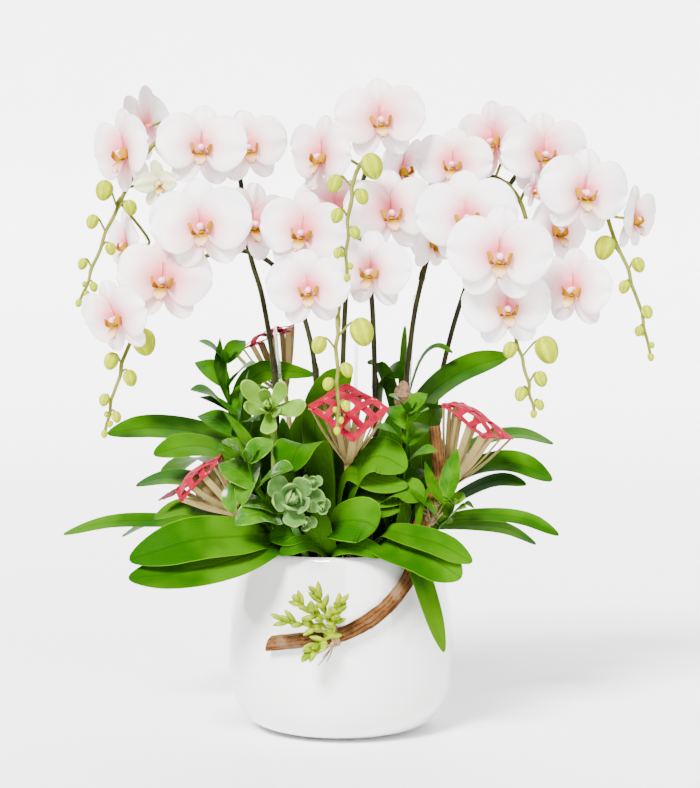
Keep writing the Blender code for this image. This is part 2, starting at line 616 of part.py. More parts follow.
def build_spike(name, spec, group, finish):
    knots = foot_points(spec["foot"]) + [seen(*point) for point in spec["way"]]
    way = knots
    count = len(way)
    thick, thin = SPIKE_RADIUS
    radii = [thick + (thin - thick) * (index / (count - 1)) ** 1.5 for index in range(count)]
    meshes = [tube(way, radii)]
    fine = [start.lerp(stop, step / 12) for start, stop in zip(knots[2:], knots[3:]) for step in range(12)]
    for spike, place, width, turn, nod, lean, tilt, front in BLOOMS.values():
        if spike != name:
            continue
        size = width * MM
        frame = bloom_matrix(seen(*place), turn, nod, lean)
        facing = frame.to_3x3() @ Vector((0, 0, 1))
        back = frame.translation - facing * (BOSS_BACK * size + GAP)
        root = nearest_on(fine, back - facing * 0.012)
        reach = min(0.018, (back - root).length * 0.5)
        stalk = [root, back - facing * reach, back]
        meshes.append(tube(stalk, [PEDICEL_RADIUS] * len(stalk), 0))
    for spike, place, length in BUDS:
        if spike != name:
            continue
        centre = seen(*place)
        root = nearest_on(fine, centre, rise=-0.006)
        away = (centre - root).normalized()
        hang = (away + Vector((0, 0, -0.7))).normalized()
        top = centre - hang * (length * MM * 0.40)
        meshes.append(tube([root, top], [BUD_STALK_RADIUS] * 2, 0))
        meshes.append(ball(centre, hang, length * MM, length * MM * 0.76, length * MM * 0.72,
                           rings=4 if length > BIG_BUD else 3, heavy_end=-0.12))
    return fuse(name, meshes, finish, group)


def leaf_stations(way, width, lean, steps, thick):
    """Stations of a strap leaf: narrow at its foot, widest past the middle, blunt at its tip."""
    line = smooth_way(way, 8)
    run = way[-1] - way[0]
    level = Vector((run.y, -run.x, 0)).normalized()
    stations = []
    for u in steps:
        place = u * (len(line) - 1)
        index = min(int(place), len(line) - 2)
        spot = line[index].lerp(line[index + 1], place - index)
        along = (line[index + 1] - line[index]).normalized()
        across = (level - along * level.dot(along)).normalized()
        across = Matrix.Rotation(math.radians(lean), 3, along) @ across
        rise = across.cross(along) * thick / 2
        half = width / 2 * (0.10 + 0.90 * math.sin(math.pi * (0.02 + 0.80 * u ** 1.15)))
        half *= 1 - 0.45 * max(0, (u - 0.84) / 0.16) ** 2
        stations.append((spot - across * half, spot + across * half, rise))
    return stations


def closed_blade(stations):
    """A closed blade through stations of (left, right, half thickness), both faces split alike."""
    bm = bmesh.new()
    rings = [[bm.verts.new(place) for place in (left - rise, right - rise, right + rise, left + rise)]
             for left, right, rise in stations]
    for ring, after in zip(rings, rings[1:]):
        bm.faces.new((ring[0], ring[1], after[1]))
        bm.faces.new((ring[0], after[1], after[0]))
        bm.faces.new((ring[3], ring[2], after[2]))
        bm.faces.new((ring[3], after[2], after[3]))
        bm.faces.new((ring[1], ring[2], after[2], after[1]))
        bm.faces.new((ring[0], ring[3], after[3], after[0]))
    bm.faces.new(rings[0])
    bm.faces.new(rings[-1])
    return mesh_of(bm, "Blade")


def build_plant(name, spec, group, finish):
    """An orchid's short stem in its hole, with its leaves leaving it one above the other."""
    foot, crown, leaves = spec
    x, y = foot
    stem = [Vector((x, y, HOLE_FLOOR)), Vector((x, y, crown - 0.010)), Vector((x, y, crown + 0.002))]
    meshes = [tube(stem, [STEM_RADIUS, STEM_RADIUS, STEM_RADIUS * 0.6], 1)]
    for number, (way, width, lean) in enumerate(leaves):
        band = Vector((x, y, crown - (len(leaves) - number) * LEAF_PITCH))
        points = [band] + [seen(*point) for point in way]
        meshes.append(closed_blade(leaf_stations(points, width * MM, lean, LEAF_STEPS, LEAF_THICK)))
    return fuse(name, meshes, finish, group)


def build_rosette(name, spec, group, finish):
    """A succulent on its short stem, with spoon leaves set by the golden angle."""
    foot, crown, (turn, nod), length, width, count, low, high = spec
    centre = seen(*crown)
    frame = bloom_matrix(centre, turn, nod, 0)
    facing = frame.to_3x3() @ Vector((0, 0, 1))
    stem = foot_points(foot) + [centre - facing * 0.030 + Vector((0, 0, -0.012)), centre + facing * 0.004]
    meshes = [tube(stem, [ROSETTE_STEM] * len(stem), 0)]
    for index in range(count):
        share = index / (count - 1)
        round_angle = index * math.radians(137.5)
        rise = math.radians(low + (high - low) * share ** 1.3)
        reach = length * MM * (1 - 0.52 * share)
        along = Vector((math.cos(round_angle) * math.cos(rise), math.sin(round_angle) * math.cos(rise),
                        math.sin(rise)))
        middle = frame @ (along * (reach * 0.50) + Vector((0, 0, -0.004 + 0.006 * share)))
        meshes.append(ball(middle, frame.to_3x3() @ along, reach * 1.06, width * MM * (1 - 0.45 * share),
                           0.0052, sides=4, rings=3, heavy_end=0.28))
    return fuse(name, meshes, finish, group)


def build_sprig(name, spec, group, finish):
    """A stem with leaves in crossed pairs, the largest in the middle."""
    foot, way, length, width, pairs = spec
    fine = smooth_way([seen(*point) for point in way], 8)
    stem = foot_points(foot) + fine[::4]
    meshes = [tube(stem, [SPRIG_RADIUS] * len(stem), 0)]
    draw = random.Random(name)
    for pair in range(pairs):
        share = pair / (pairs - 1)
        spot = fine[round(share * (len(fine) - 1))]
        size = length * MM * (0.70 + 0.45 * math.sin(math.pi * (0.2 + 0.7 * share)))
        for side in (0, 1):
            angle = math.radians(45 + pair * 90 + side * 180 + draw.uniform(-14, 14))
            out = Vector((math.cos(angle), math.sin(angle), 0.25 + 0.5 * share))
            tip = spot + out.normalized() * size
            leaf_way = [spot, spot.lerp(tip, 0.5) + Vector((0, 0, size * 0.12)), tip]
            meshes.append(closed_blade(leaf_stations(leaf_way, width * size / length,
                                                     SPRIG_LEAN * math.cos(angle), SPRIG_STEPS,
                                                     SPRIG_THICK)))
    return fuse(name, meshes, finish, group)


def strip(start, stop, width, facing):
    """A flat bamboo strip from one place to another, with its broad side turned to facing."""
    along = (stop - start).normalized()
    across = along.cross(facing).normalized()
    face = across.cross(along)
    turn = Matrix((across, along, face)).transposed().to_4x4()
    size = Matrix.Diagonal((width, (stop - start).length, STRIP_THICK, 1))
    bm = bmesh.new()
    bmesh.ops.create_cube(bm, size=1, matrix=Matrix.Translation(start.lerp(stop, 0.5)) @ turn @ size)
    mesh = bpy.data.meshes.new("Strip")
    bm.to_mesh(mesh)
    bm.free()
    return mesh


def woven_head(corners, facing):
    """The square lattice of strips at the end of a pick, domed a little, with open windows."""
    lines = [0.0]
    for window in range(PICK_WINDOWS):
        lines += [lines[-1] + PICK_STRIP, lines[-1] + 1 / PICK_WINDOWS]
    lines = [line / (1 + PICK_STRIP) for line in lines] + [1.0]
    cells = len(lines) - 1
    bm = bmesh.new()
    bmesh.ops.create_grid(bm, x_segments=cells, y_segments=cells, size=0.5)
    for vert in bm.verts:
        across = lines[round((vert.co.x + 0.5) * cells)]
        up = lines[round((vert.co.y + 0.5) * cells)]
        vert.co = head_point(corners, facing, across, up)
    bmesh.ops.delete(bm, geom=[face for number, face in enumerate(bm.faces)
                               if number % cells % 2 and number // cells % 2], context="FACES")
    bmesh.ops.triangulate(bm, faces=bm.faces)
    bmesh.ops.solidify(bm, geom=bm.faces[:], thickness=STRIP_THICK)
    bmesh.ops.recalc_face_normals(bm, faces=bm.faces)
    mesh = bpy.data.meshes.new("Head")
    bm.to_mesh(mesh)
    bm.free()
    return mesh


def head_point(corners, facing, across, up):
    low = corners[0].lerp(corners[1], across)
    high = corners[3].lerp(corners[2], across)
    dome = (1 - (2 * across - 1) ** 2) * (1 - (2 * up - 1) ** 2)
    return low.lerp(high, up) + facing * (0.008 * dome)


def build_pick(name, spec, group, finish):
    """A bamboo pick: a stalk that splits into strips, whose ends are woven into a square head."""
    foot, waist, corners = spec
    neck = seen(*waist)
    corner = [seen(*point) for point in corners]
    middle = sum(corner, Vector()) / 4
    facing = (corner[1] - corner[3]).cross(corner[2] - corner[0]).normalized()
    if facing.dot(middle - neck) < 0:
        facing = -facing
    stalk = foot_points(foot) + [neck, neck.lerp(middle, 0.14)]
    meshes = [tube(stalk, [ROSETTE_STEM] * len(stalk), 0), woven_head(corner, facing)]
    for across, up in ((0.05, 0.05), (0.05, 0.95), (0.95, 0.95), (0.95, 0.05), (0.5, 0.05)):
        end = head_point(corner, facing, across, up)
        outward = (end - middle).cross(neck - middle)
        side = outward.cross(end - neck).normalized()
        meshes.append(strip(neck.lerp(middle, 0.06), end, PICK_WIDTH, side))
    return fuse(name, meshes, finish, group)


def pot_radius(height):
    """The pot's outer radius at a height, on straight runs between its named points."""
    for (upper, top), (lower, bottom) in zip(POT_OUTSIDE, POT_OUTSIDE[1:]):
        if bottom <= height <= top:
            return lower + (upper - lower) * (height - bottom) / (top - bottom)
    return POT_OUTSIDE[0][0]


def on_pot(x, z, radius, clear=GAP):
    """The place of something of this radius that lies against the front of the pot."""
    near = Vector((x * MM, 0, z * MM))
    for _ in range(4):
        reach = pot_radius(near.z) + radius + clear
        depth = -math.sqrt(max(0, reach ** 2 - near.x ** 2))
        near = seen(x, z, depth / MM)
    return near


def branch_way():
    return smooth_way([seen(*point) for point in BRANCH_ABOVE]
                      + [on_pot(x, z, BRANCH_RADIUS, BRANCH_CLEAR) for x, z in BRANCH_ON_POT], 2)


def build_branch(group, finish):
    way = branch_way()
    radii = [BRANCH_RADIUS * (0.74 + 0.26 * min(1, index / 8)) for index in range(len(way))]
    return fuse("vine_branch", [tube(way, radii, 2)], finish, group)


def build_stake(name, spec, group, finish):
    foot, top = spec
    points = foot_points(foot) + [seen(*top)]
    return fuse(name, [tube(points, [STAKE_RADIUS] * 3)], finish, group)


def build_stonecrop(group, finish):
    """A stonecrop sprig that lies against the branch, with short pointed leaves along its arms."""
    base = on_pot(*STONECROP_FOOT, 2 * BRANCH_RADIUS + STONECROP_LIFT)
    meshes = [ball(base + Vector((-0.004, 0, 0)), Vector((1, 0, 0)), 0.018, 0.0046, 0.0040, 4, 3)]
    for arm, (across, up, depth) in enumerate(STONECROP_ARMS):
        tip = base + Vector((across, depth, up)) * MM
        root = base + Vector((-0.004, 0, 0))
        meshes.append(tube([root, tip], [STONECROP_STEM] * 2, 0))
        axis = (tip - root).normalized()
        side = axis.orthogonal().normalized()
        for index in range(STONECROP_LEAVES):
            spot = root.lerp(tip, 0.25 + 0.75 * index / (STONECROP_LEAVES - 1))
            out = Matrix.Rotation(index * math.radians(137.5) + arm, 3, axis) @ side
            out = (out + axis * 0.7 + Vector((0, -0.5, 0))).normalized()
            meshes.append(ball(spot + out * 0.0058, out, 0.0130, 0.0050, 0.0034, 3, 3))
    return fuse("stonecrop_sprig", meshes, finish, group)


def main():
    clear_scene()
    group = new_collection("potted_moth_orchid")
    cutters = new_collection("cutters")
    petals = material("petal_white", (0.86, 0.74, 0.76), 0.55)
    green = material("spike_green", (0.36, 0.42, 0.10), 0.5)
    leaf = material("leaf_green", (0.09, 0.30, 0.02), 0.35)
    succulent = material("succulent_green", (0.30, 0.48, 0.22), 0.5)
    bamboo = material("bamboo", (0.62, 0.45, 0.22), 0.6)
    bark = material("bark", (0.20, 0.11, 0.05), 0.9)
    glaze = material("pot_glaze", (0.86, 0.85, 0.83), 0.2)
    clear = material("stake_plastic", (0.60, 0.60, 0.56), 0.3)
    build_pot(group, glaze)
    feet = [(spec["foot"], hole_radius(SPIKE_RADIUS[0])) for spec in SPIKES.values()]
    feet += [(spec[0], hole_radius(STEM_RADIUS)) for spec in PLANTS.values()]
    feet += [(spec[0], hole_radius(ROSETTE_STEM)) for spec in ROSETTES.values()]
    feet += [(spec[0], hole_radius(SPRIG_RADIUS)) for spec in SPRIGS.values()]
    feet += [(spec[0], hole_radius(ROSETTE_STEM)) for spec in PICKS.values()]
    feet += [(spec[0], hole_radius(STAKE_RADIUS)) for spec in STAKES.values()]
    for number, (name, spec) in enumerate(BLOOMS.items(), 1):
        build_bloom(name, spec, number, group, petals)
    for name, spec in SPIKES.items():
        build_spike(name, spec, group, green)
    for name, spec in PLANTS.items():
        build_plant(name, spec, group, leaf)
    for name, spec in ROSETTES.items():
        build_rosette(name, spec, group, succulent)
    for name, spec in SPRIGS.items():
        build_sprig(name, spec, group, leaf)
    for name, spec in PICKS.items():
        build_pick(name, spec, group, bamboo)
    for name, spec in STAKES.items():
        build_stake(name, spec, group, clear)
    build_branch(group, bark)
    build_stonecrop(group, succulent)
    build_soil(group, cutters, material("bark_mix", (0.12, 0.07, 0.03), 0.95), feet)
    bpy.context.view_layer.update()


main()
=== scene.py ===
"""Potted moth orchid: the finished look of the flowers, leaves, companion plants and pot.

Metres, +Z up. The origin is at the middle of the pot's flat underside, and -Y is the front.
The plants are laid out as seen from the front: seen(x, z, y) takes x and z in millimetres where
the line of sight meets the plane of the pot's axis, and y as the depth behind that plane.
"""

import json
import math
import random

import bpy
from mathutils import Matrix, Vector, noise

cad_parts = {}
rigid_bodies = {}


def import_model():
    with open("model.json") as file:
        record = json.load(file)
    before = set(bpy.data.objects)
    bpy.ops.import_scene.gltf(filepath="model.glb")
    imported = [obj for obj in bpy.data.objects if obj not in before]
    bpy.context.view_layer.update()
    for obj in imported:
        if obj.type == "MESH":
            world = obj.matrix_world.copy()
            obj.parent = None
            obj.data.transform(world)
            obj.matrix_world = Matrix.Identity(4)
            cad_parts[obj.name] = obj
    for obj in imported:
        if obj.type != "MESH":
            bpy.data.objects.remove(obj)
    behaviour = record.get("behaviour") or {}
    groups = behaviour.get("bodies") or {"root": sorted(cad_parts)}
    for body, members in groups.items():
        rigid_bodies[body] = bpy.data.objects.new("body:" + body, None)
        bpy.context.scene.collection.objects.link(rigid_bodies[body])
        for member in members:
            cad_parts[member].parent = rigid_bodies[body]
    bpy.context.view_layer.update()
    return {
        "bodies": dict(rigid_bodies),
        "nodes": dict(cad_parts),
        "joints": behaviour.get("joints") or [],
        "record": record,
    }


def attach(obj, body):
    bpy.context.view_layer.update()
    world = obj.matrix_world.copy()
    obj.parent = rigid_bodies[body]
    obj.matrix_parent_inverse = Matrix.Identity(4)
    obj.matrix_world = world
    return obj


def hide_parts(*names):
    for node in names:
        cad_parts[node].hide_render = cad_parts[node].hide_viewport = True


bl_info = {
    "name": "Potted Moth Orchid",
    "version": (1, 0, 0),
    "blender": (4, 5, 0),
    "location": "3D Viewport > Sidebar > Orchid",
    "description": "Models the flowers, leaves, companions and pot of a moth orchid arrangement",
    "category": "Add Mesh",
}

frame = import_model()

MM = 0.001
GAP = 0.0003
GOLDEN_ANGLE = math.radians(137.5)

# The camera stands where the layout is seen from.
EYE = Vector((0.009, -1.8, 0.400))
EYE_PITCH = -2.13
LENS = 82.2

# The floor with its sweep up into the backdrop, and the lights: place, power and spread in degrees.
SWEEP = 1.2
SWEEP_STEPS = 8
FLOOR_SIZE = 12
BACKDROP_HEIGHT = 5
ROOM_LIGHT = 0.42
LAMPS = {
    "key": ((-0.75, -1.55, 1.5), 14.8, 18),
    "fill": ((0.9, -1.6, 0.4), 3.3, 50),
    "back": ((0.5, 1.4, 1.5), 3.0, 40),
}

# The pot: outside from rim to base, the rim, and the inside, as radius and height.
POT_OUTSIDE = ((0.1020, 0.1780), (0.1050, 0.1510), (0.1110, 0.1100), (0.1130, 0.0680), (0.1095, 0.0370),
               (0.1000, 0.0180), (0.0850, 0.0055), (0.0600, 0.0))
POT_RIM = ((0.0965, 0.1780), (0.0992, 0.1812))
POT_INSIDE = ((0.0830, 0.0180), (0.1050, 0.0500), (0.1030, 0.1300))

# Bark mix: its top, how rough it is, its underside and radii, and the floor of the stems' holes.
SOIL_TOP = 0.1680
SOIL_ROUGH = 0.0016
SOIL_UNDERSIDE = 0.030
SOIL_RADIUS = 0.0962
SOIL_LOWER_RADIUS = 0.0900
HOLE_FLOOR = 0.1300

# Loose chips: how far from the middle they lie, the spans of their sizes, and how bent their corners are.
CHIPS_REACH = 0.090
CHIP_SPANS = ((0.006, 0.014), (0.004, 0.009), (0.002, 0.005))
CHIP_BEND = 0.0006

# Flower: where its back ends, in flower widths, and from which tilt its tepals close, in degrees.
BOSS_BACK = 0.065
CLOSING_FROM = 12
CLOSING_RANGE = 64

# In flower widths: sepals as heading in degrees, length and width; a tendril from the lip's tip; the column.
SEPALS = ((90, 0.46, 0.33), (-126, 0.45, 0.29), (-54, 0.45, 0.29))
TENDRIL = ((0.014, -0.020, 0.010), (0.034, -0.020, 0.026), (0.044, -0.002, 0.038), (0.036, 0.016, 0.040))
COLUMN = ((0, -0.010, 0.005), (0, 0.000, 0.040), (0, 0.004, 0.080), (0, -0.004, 0.108), (0, -0.014, 0.120))

# Stems: from foot to tip, the flower and bud stalks, how far a bud pulls its stem, and the knots' spacing.
SPIKE_RADIUS = (0.0030, 0.0013)
STALK_RADIUS = 0.0015
BUD_STALK_RADIUS = 0.0011
BUD_PULL = 0.0013
KNOT_EVERY = 17

# Small closed buds at the tail's end: points before the last, sideways shift and length.
TAIL_BUDS = ((1, 0.0, 0.0085), (4, 0.0034, 0.0070), (7, -0.0032, 0.0062))

# Leaves: the steps between their feet, how far below the crown the small ones start, and the plants'
# stems; then the sprigs' lean in degrees, their stems from foot to tip, and a thin leaf's thickness.
LEAF_PITCH = 0.006
INNER_DROP = 0.030
STEM_RADIUS = 0.0075
SPRIG_LEAN = 38
SPRIG_RADIUS = (0.0018, 0.0010)
THIN = 0.0009

# Rosettes: the radius of their stems and the greatest thickness of their leaves.
ROSETTE_STEM = 0.0034
ROSETTE_THICK = 0.0040

# Trimmings: the tie's place on the pot, the tuft's foot, the wad with its half sizes, the red bract's way.
TIE_AT = (-6, 90)
TUFT_AT = (91, 200, -84)
WAD_AT = (62, 329, -14)
WAD_HALF = (0.0085, 0.0080, 0.0170)
BRACT_WAY = ((-148, 246, -52), (-170, 232, -56), (-184, 226, -60))
BRACT_WIDTH = 0.019

# Flower spikes: foot in the soil, the way of the stem (x, z, y), then the buds of its tail, each with
# its place and its length, in mm.
SPIKES = {
    "flower_spike_1": ((-0.05, 0.012), (
        (-62, 250, 14), (-66, 347, 16), (-78, 427, 20), (-90, 470, 22), (-97, 520, 20), (-104, 562, 18),
        (-124, 590, 16), (-156, 597, 10), (-186, 582, 2), (-208, 548, -8), (-226, 512, -32),
        (-240, 480, -48), (-251, 450, -54), (-262, 424, -56)
    ), (
        (-236, 536, -44, 21), (-210, 519, -42, 16), (-248, 505, -52, 15), (-230, 478, -60, 13),
        (-258, 463, -58, 12), (-247, 440, -62, 10)
    )),
    "flower_spike_2": ((-0.026, -0.012), (
        (-25, 250, -8), (-25, 345, -5), (-34, 400, -3), (-50, 440, 2), (-76, 468, 6), (-110, 477, 4),
        (-144, 466, -6), (-175, 442, -20), (-200, 412, -34), (-213, 380, -42), (-223, 348, -46),
        (-231, 320, -47), (-237, 293, -47)
    ), (
        (-197, 385, -54, 28), (-230, 366, -52, 18), (-211, 349, -52, 17), (-237, 327, -54, 13),
        (-225, 310, -52, 12)
    )),
    "flower_spike_3": ((-0.003, 0.03), (
        (0, 250, 25), (1, 330, 22), (4, 417, 18), (9, 480, 18), (18, 530, 14), (24, 553, -4),
        (25, 558, -30), (24, 561, -60), (17, 560, -86), (12, 540, -100), (8, 510, -108), (6, 480, -114),
        (6, 449, -116)
    ), (
        (31, 560, -94, 26), (-6, 543, -106, 18), (21, 530, -110, 16), (-4, 511, -114, 15),
        (14, 494, -118, 13), (-3, 474, -120, 11)
    )),
    "flower_spike_4": ((0.028, 0.01), (
        (33, 250, 8), (34, 332, 6), (32, 407, 4), (28, 455, 4), (22, 484, -6), (12, 480, -34),
        (3, 450, -58), (-2, 420, -76), (-4, 392, -90), (-4, 360, -102), (-3, 325, -114), (-4, 296, -120)
    ), (
        (21, 395, -102, 28), (-22, 382, -102, 18), (6, 357, -112, 15), (-13, 343, -118, 13),
        (5, 321, -124, 11)
    )),
    "flower_spike_5": ((0.058, -0.006), (
        (62, 250, -4), (64, 327, -3), (71, 397, -2), (79, 440, 0), (90, 480, 4), (106, 520, 8),
        (128, 547, 14), (154, 549, 6), (176, 530, -12), (187, 495, -32), (186, 460, -46), (180, 425, -54),
        (174, 398, -62), (181, 367, -72), (188, 340, -76), (193, 313, -76)
    ), (
        (169, 377, -76, 17), (206, 377, -72, 28), (200, 348, -80, 16), (180, 333, -82, 15),
        (199, 322, -80, 11)
    )),
    "flower_spike_6": ((0.066, 0.046), (
        (84, 250, 70), (96, 330, 82), (112, 400, 80), (132, 460, 68), (156, 520, 50), (184, 562, 30),
        (216, 580, 16), (244, 566, 2), (260, 535, -10), (268, 502, -22), (281, 470, -34), (294, 434, -42),
        (303, 402, -44), (310, 370, -44)
    ), (
        (263, 479, -40, 25), (297, 462, -38, 16), (283, 440, -46, 14), (306, 415, -48, 14),
        (298, 396, -50, 11)
    )),
}

# Flowers: spike, place (x, z, y) and width in mm, turn, nod, lean and tilt in degrees.
BLOOMS = (
    (1, -214, 574, -43, 92, -50, 8, 6, 4), (1, -192, 600, 26, 88, -118, 6, -8, 0),
    (1, -139, 579, -52, 88, 2, 4, -4, 0), (1, -93, 579, -10, 80, 14, 4, 8, 2),
    (1, -180, 544, -60, 54, -12, 16, 4, 34), (2, -139, 501, -78, 98, -4, 6, 5, 0),
    (2, -90, 503, -36, 88, 38, 4, -6, 2), (2, -177, 447, -58, 94, -8, 6, -5, 0),
    (2, -224, 409, -84, 82, -34, 18, 10, 3), (1, -212, 482, 10, 78, -58, 10, 0, 6),
    (3, 39, 606, -46, 88, 6, 2, 4, 0), (3, -18, 570, -36, 86, -48, 6, -6, 3),
    (3, 60, 558, 0, 80, 62, 14, 8, 0), (4, -38, 494, -58, 88, -14, 4, -8, 0),
    (4, -32, 438, -90, 82, -6, 8, 4, 0), (4, 49, 514, -62, 90, 12, 4, 5, 0),
    (4, 31, 456, -86, 84, -30, 10, -6, 2), (3, -6, 516, -8, 84, -8, 2, 0, 0),
    (5, 92, 484, -20, 62, 40, 14, 0, 0), (5, 153, 585, -12, 86, -40, 6, 6, 2),
    (5, 112, 562, -22, 78, -16, 4, -4, 0), (6, 202, 572, -42, 88, 12, 4, 4, 0),
    (6, 242, 534, -66, 92, 14, 6, -6, 0), (6, 291, 508, -4, 72, 56, 8, 4, 8),
    (5, 126, 509, -76, 98, -6, 4, 5, 0), (5, 158, 471, -110, 100, 0, 6, -4, 0),
    (5, 166, 419, -82, 86, 2, 8, 4, 0), (5, 233, 438, -80, 84, -36, 10, -6, 2),
    (5, 214, 497, -22, 82, 40, 4, 0, 4), (5, 192, 536, -44, 40, 18, 8, 10, 38),
)

# The flower that is only half open.
HALF_OPEN = 5

# Orchid plants: foot, height of the crown, then the leaves and the small leaves deep among them,
# each with its way (x, z, y) and its width in mm, and its lean in degrees.
PLANTS = {
    "orchid_leaves_1": ((-0.058, 0.034), 0.205, (
        (((-76, 258, 30), (-124, 290, 12), (-188, 300, -6), (-234, 293, -14)), 44, -30),
        (((-78, 240, 16), (-112, 272, -17), (-150, 282, -40), (-188, 272, -52)), 42, -30),
        (((-84, 262, 48), (-100, 318, 40), (-82, 356, 37), (-26, 352, 37)), 30, 48),
        (((-96, 240, 60), (-136, 270, 96), (-160, 264, 130), (-176, 244, 152)), 46, 0),
        (((-72, 232, 72), (-104, 262, 122), (-128, 256, 168), (-140, 228, 196)), 46, 0),
    ), (
        (((-44, 190, 4), (-48, 232, 18), (-46, 274, 40)), 44, 0),
        (((-84, 226, 14), (-100, 262, 22), (-104, 300, 36)), 38, 0),
        (((-40, 200, 10), (-44, 262, 14), (-38, 318, 20)), 42, 0),
        (((-64, 206, 10), (-76, 256, 4), (-80, 320, 4)), 44, 0),
        (((-70, 210, 4), (-92, 248, -6), (-112, 268, -14)), 30, -20),
    )),
    "orchid_leaves_2": ((-0.062, -0.038), 0.196, (
        (((-90, 215, -32), (-136, 242, -24), (-172, 250, -20), (-206, 241, -18)), 38, -20),
        (((-110, 204, -24), (-174, 205, -8), (-231, 205, -4), (-279, 192, -6)), 26, -28),
        (((-79, 190, -84), (-106, 190, -109), (-150, 187, -126), (-213, 166, -132)), 52, -42),
        (((-66, 184, -84), (-104, 168, -117), (-161, 154, -135), (-214, 148, -139)), 48, -34),
        (((-94, 206, -8), (-140, 214, 14), (-186, 208, 30), (-220, 190, 38)), 36, -20),
        (((-94, 207, -40), (-128, 216, -44), (-160, 219, -46), (-188, 208, -48)), 34, -24),
    ), (
        (((-66, 190, -6), (-78, 230, 6), (-84, 266, 24)), 42, 0),
        (((-30, 180, -70), (-46, 192, -90), (-72, 187, -104)), 30, -36),
        (((-58, 196, -44), (-92, 214, -52), (-116, 232, -60)), 34, -24),
        (((-52, 190, -58), (-60, 226, -62), (-52, 262, -58)), 34, 0),
    )),
    "orchid_leaves_3": ((-0.006, -0.06), 0.200, (
        (((-20, 250, -66), (-34, 284, -84), (-46, 276, -104), (-52, 254, -110)), 54, 0),
        (((-12, 200, -84), (4, 206, -104), (22, 206, -114), (36, 198, -118)), 48, 58),
        (((8, 232, -72), (20, 262, -84), (40, 272, -90), (66, 257, -92)), 44, 48),
        (((-14, 226, -44), (-26, 300, -34), (-14, 336, -30), (10, 356, -28)), 40, 64),
        (((-10, 230, -30), (-8, 270, -18), (-2, 300, -12), (6, 318, -10)), 44, 80),
    ), (
        (((-22, 190, -14), (-20, 228, 4), (-24, 268, 26)), 40, 0),
        (((-34, 200, -20), (-52, 254, -20), (-59, 310, -18)), 28, 0),
        (((-26, 184, -40), (-34, 204, -56), (-30, 222, -74)), 30, 0),
        (((2, 252, -76), (34, 243, -88), (68, 241, -92)), 24, 44),
        (((8, 226, -72), (40, 224, -86), (78, 231, -92)), 17, 42),
        (((12, 210, -74), (36, 213, -88), (60, 217, -92)), 15, 42),
        (((-14, 176, -90), (-24, 196, -100), (-20, 216, -96)), 28, 0),
        (((-8, 174, -92), (16, 181, -106), (46, 170, -108)), 19, 52),
        (((-18, 175, -90), (-38, 184, -102), (-62, 172, -104)), 18, -52),
    )),
    "orchid_leaves_4": ((0.05, -0.058), 0.204, (
        (((57, 185, -93), (73, 166, -116), (90, 120, -109), (104, 73, -99)), 29, 0),
        (((40, 185, -94), (59, 179, -116), (89, 170, -126), (121, 148, -128)), 48, 36),
        (((44, 196, -98), (68, 191, -118), (100, 182, -126), (132, 164, -124)), 29, 34),
        (((44, 222, -72), (52, 233, -86), (66, 237, -92), (84, 228, -96)), 34, 30),
        (((24, 234, -34), (14, 266, -24), (18, 284, -28), (30, 274, -38)), 42, 0),
    ), (
        (((50, 190, -20), (58, 224, -8), (68, 260, 10)), 38, 0),
        (((26, 180, -72), (38, 184, -88), (52, 181, -96)), 24, 36),
        (((56, 200, -20), (66, 248, -10), (72, 304, -4)), 30, 0),
        (((40, 204, -30), (46, 258, -22), (52, 316, -14)), 28, 0),
        (((46, 190, -50), (62, 208, -60), (76, 226, -62)), 30, 20),
        (((58, 190, -74), (64, 210, -80), (66, 232, -76)), 17, 0),
    )),
    "orchid_leaves_5": ((0.076, 0.012), 0.204, (
        (((92, 240, 10), (130, 280, 6), (176, 294, 4), (213, 283, 2)), 36, 16),
        (((94, 232, -6), (134, 260, -13), (176, 264, -20), (212, 246, -26)), 40, 28),
        (((98, 214, -2), (128, 236, -8), (158, 247, -14), (186, 242, -20)), 26, 30),
        (((98, 206, -20), (140, 212, -34), (184, 208, -40), (219, 191, -44)), 24, 28),
        (((94, 200, 20), (130, 202, 22), (166, 198, 24), (196, 182, 26)), 26, 26),
        (((80, 240, -6), (84, 290, -8), (92, 318, -12), (104, 322, -18)), 40, 0),
    ), (
        (((78, 192, -12), (88, 222, 0), (96, 254, 18)), 34, 0),
        (((62, 192, 0), (72, 230, 6), (78, 268, 20)), 36, 0),
    )),
    "orchid_leaves_6": ((0.034, 0.062), 0.212, (
        (((58, 282, 44), (84, 328, 40), (122, 357, 34), (169, 371, 26)), 50, 36),
        (((38, 280, 64), (40, 340, 50), (52, 358, 40), (66, 350, 34)), 34, 30),
        (((70, 230, 90), (104, 262, 124), (132, 272, 156), (152, 262, 180)), 44, 0),
        (((44, 230, 92), (64, 262, 132), (84, 254, 178), (96, 222, 206)), 48, 0),
    ), (
        (((30, 190, 20), (36, 230, 34), (42, 272, 50)), 44, 0),
        (((56, 280, 44), (52, 330, 40), (40, 362, 36), (26, 364, 32)), 19, -24),
        (((58, 300, 52), (62, 360, 46), (64, 402, 40)), 14, 0),
        (((62, 310, 48), (78, 366, 42), (96, 382, 38), (112, 374, 34)), 13, 24),
    )),
    "orchid_leaves_7": ((-0.016, 0.072), 0.206, (
        (((-14, 226, 92), (-10, 256, 134), (-6, 248, 182), (-4, 216, 212)), 50, 0),
        (((-30, 216, 88), (-52, 236, 118), (-72, 226, 156), (-84, 196, 178)), 46, 0),
        (((8, 216, 92), (34, 232, 124), (56, 222, 160), (70, 192, 182)), 42, 0),
    ), (
        (((4, 190, 30), (8, 234, 44), (2, 278, 60)), 46, 0),
    )),
}

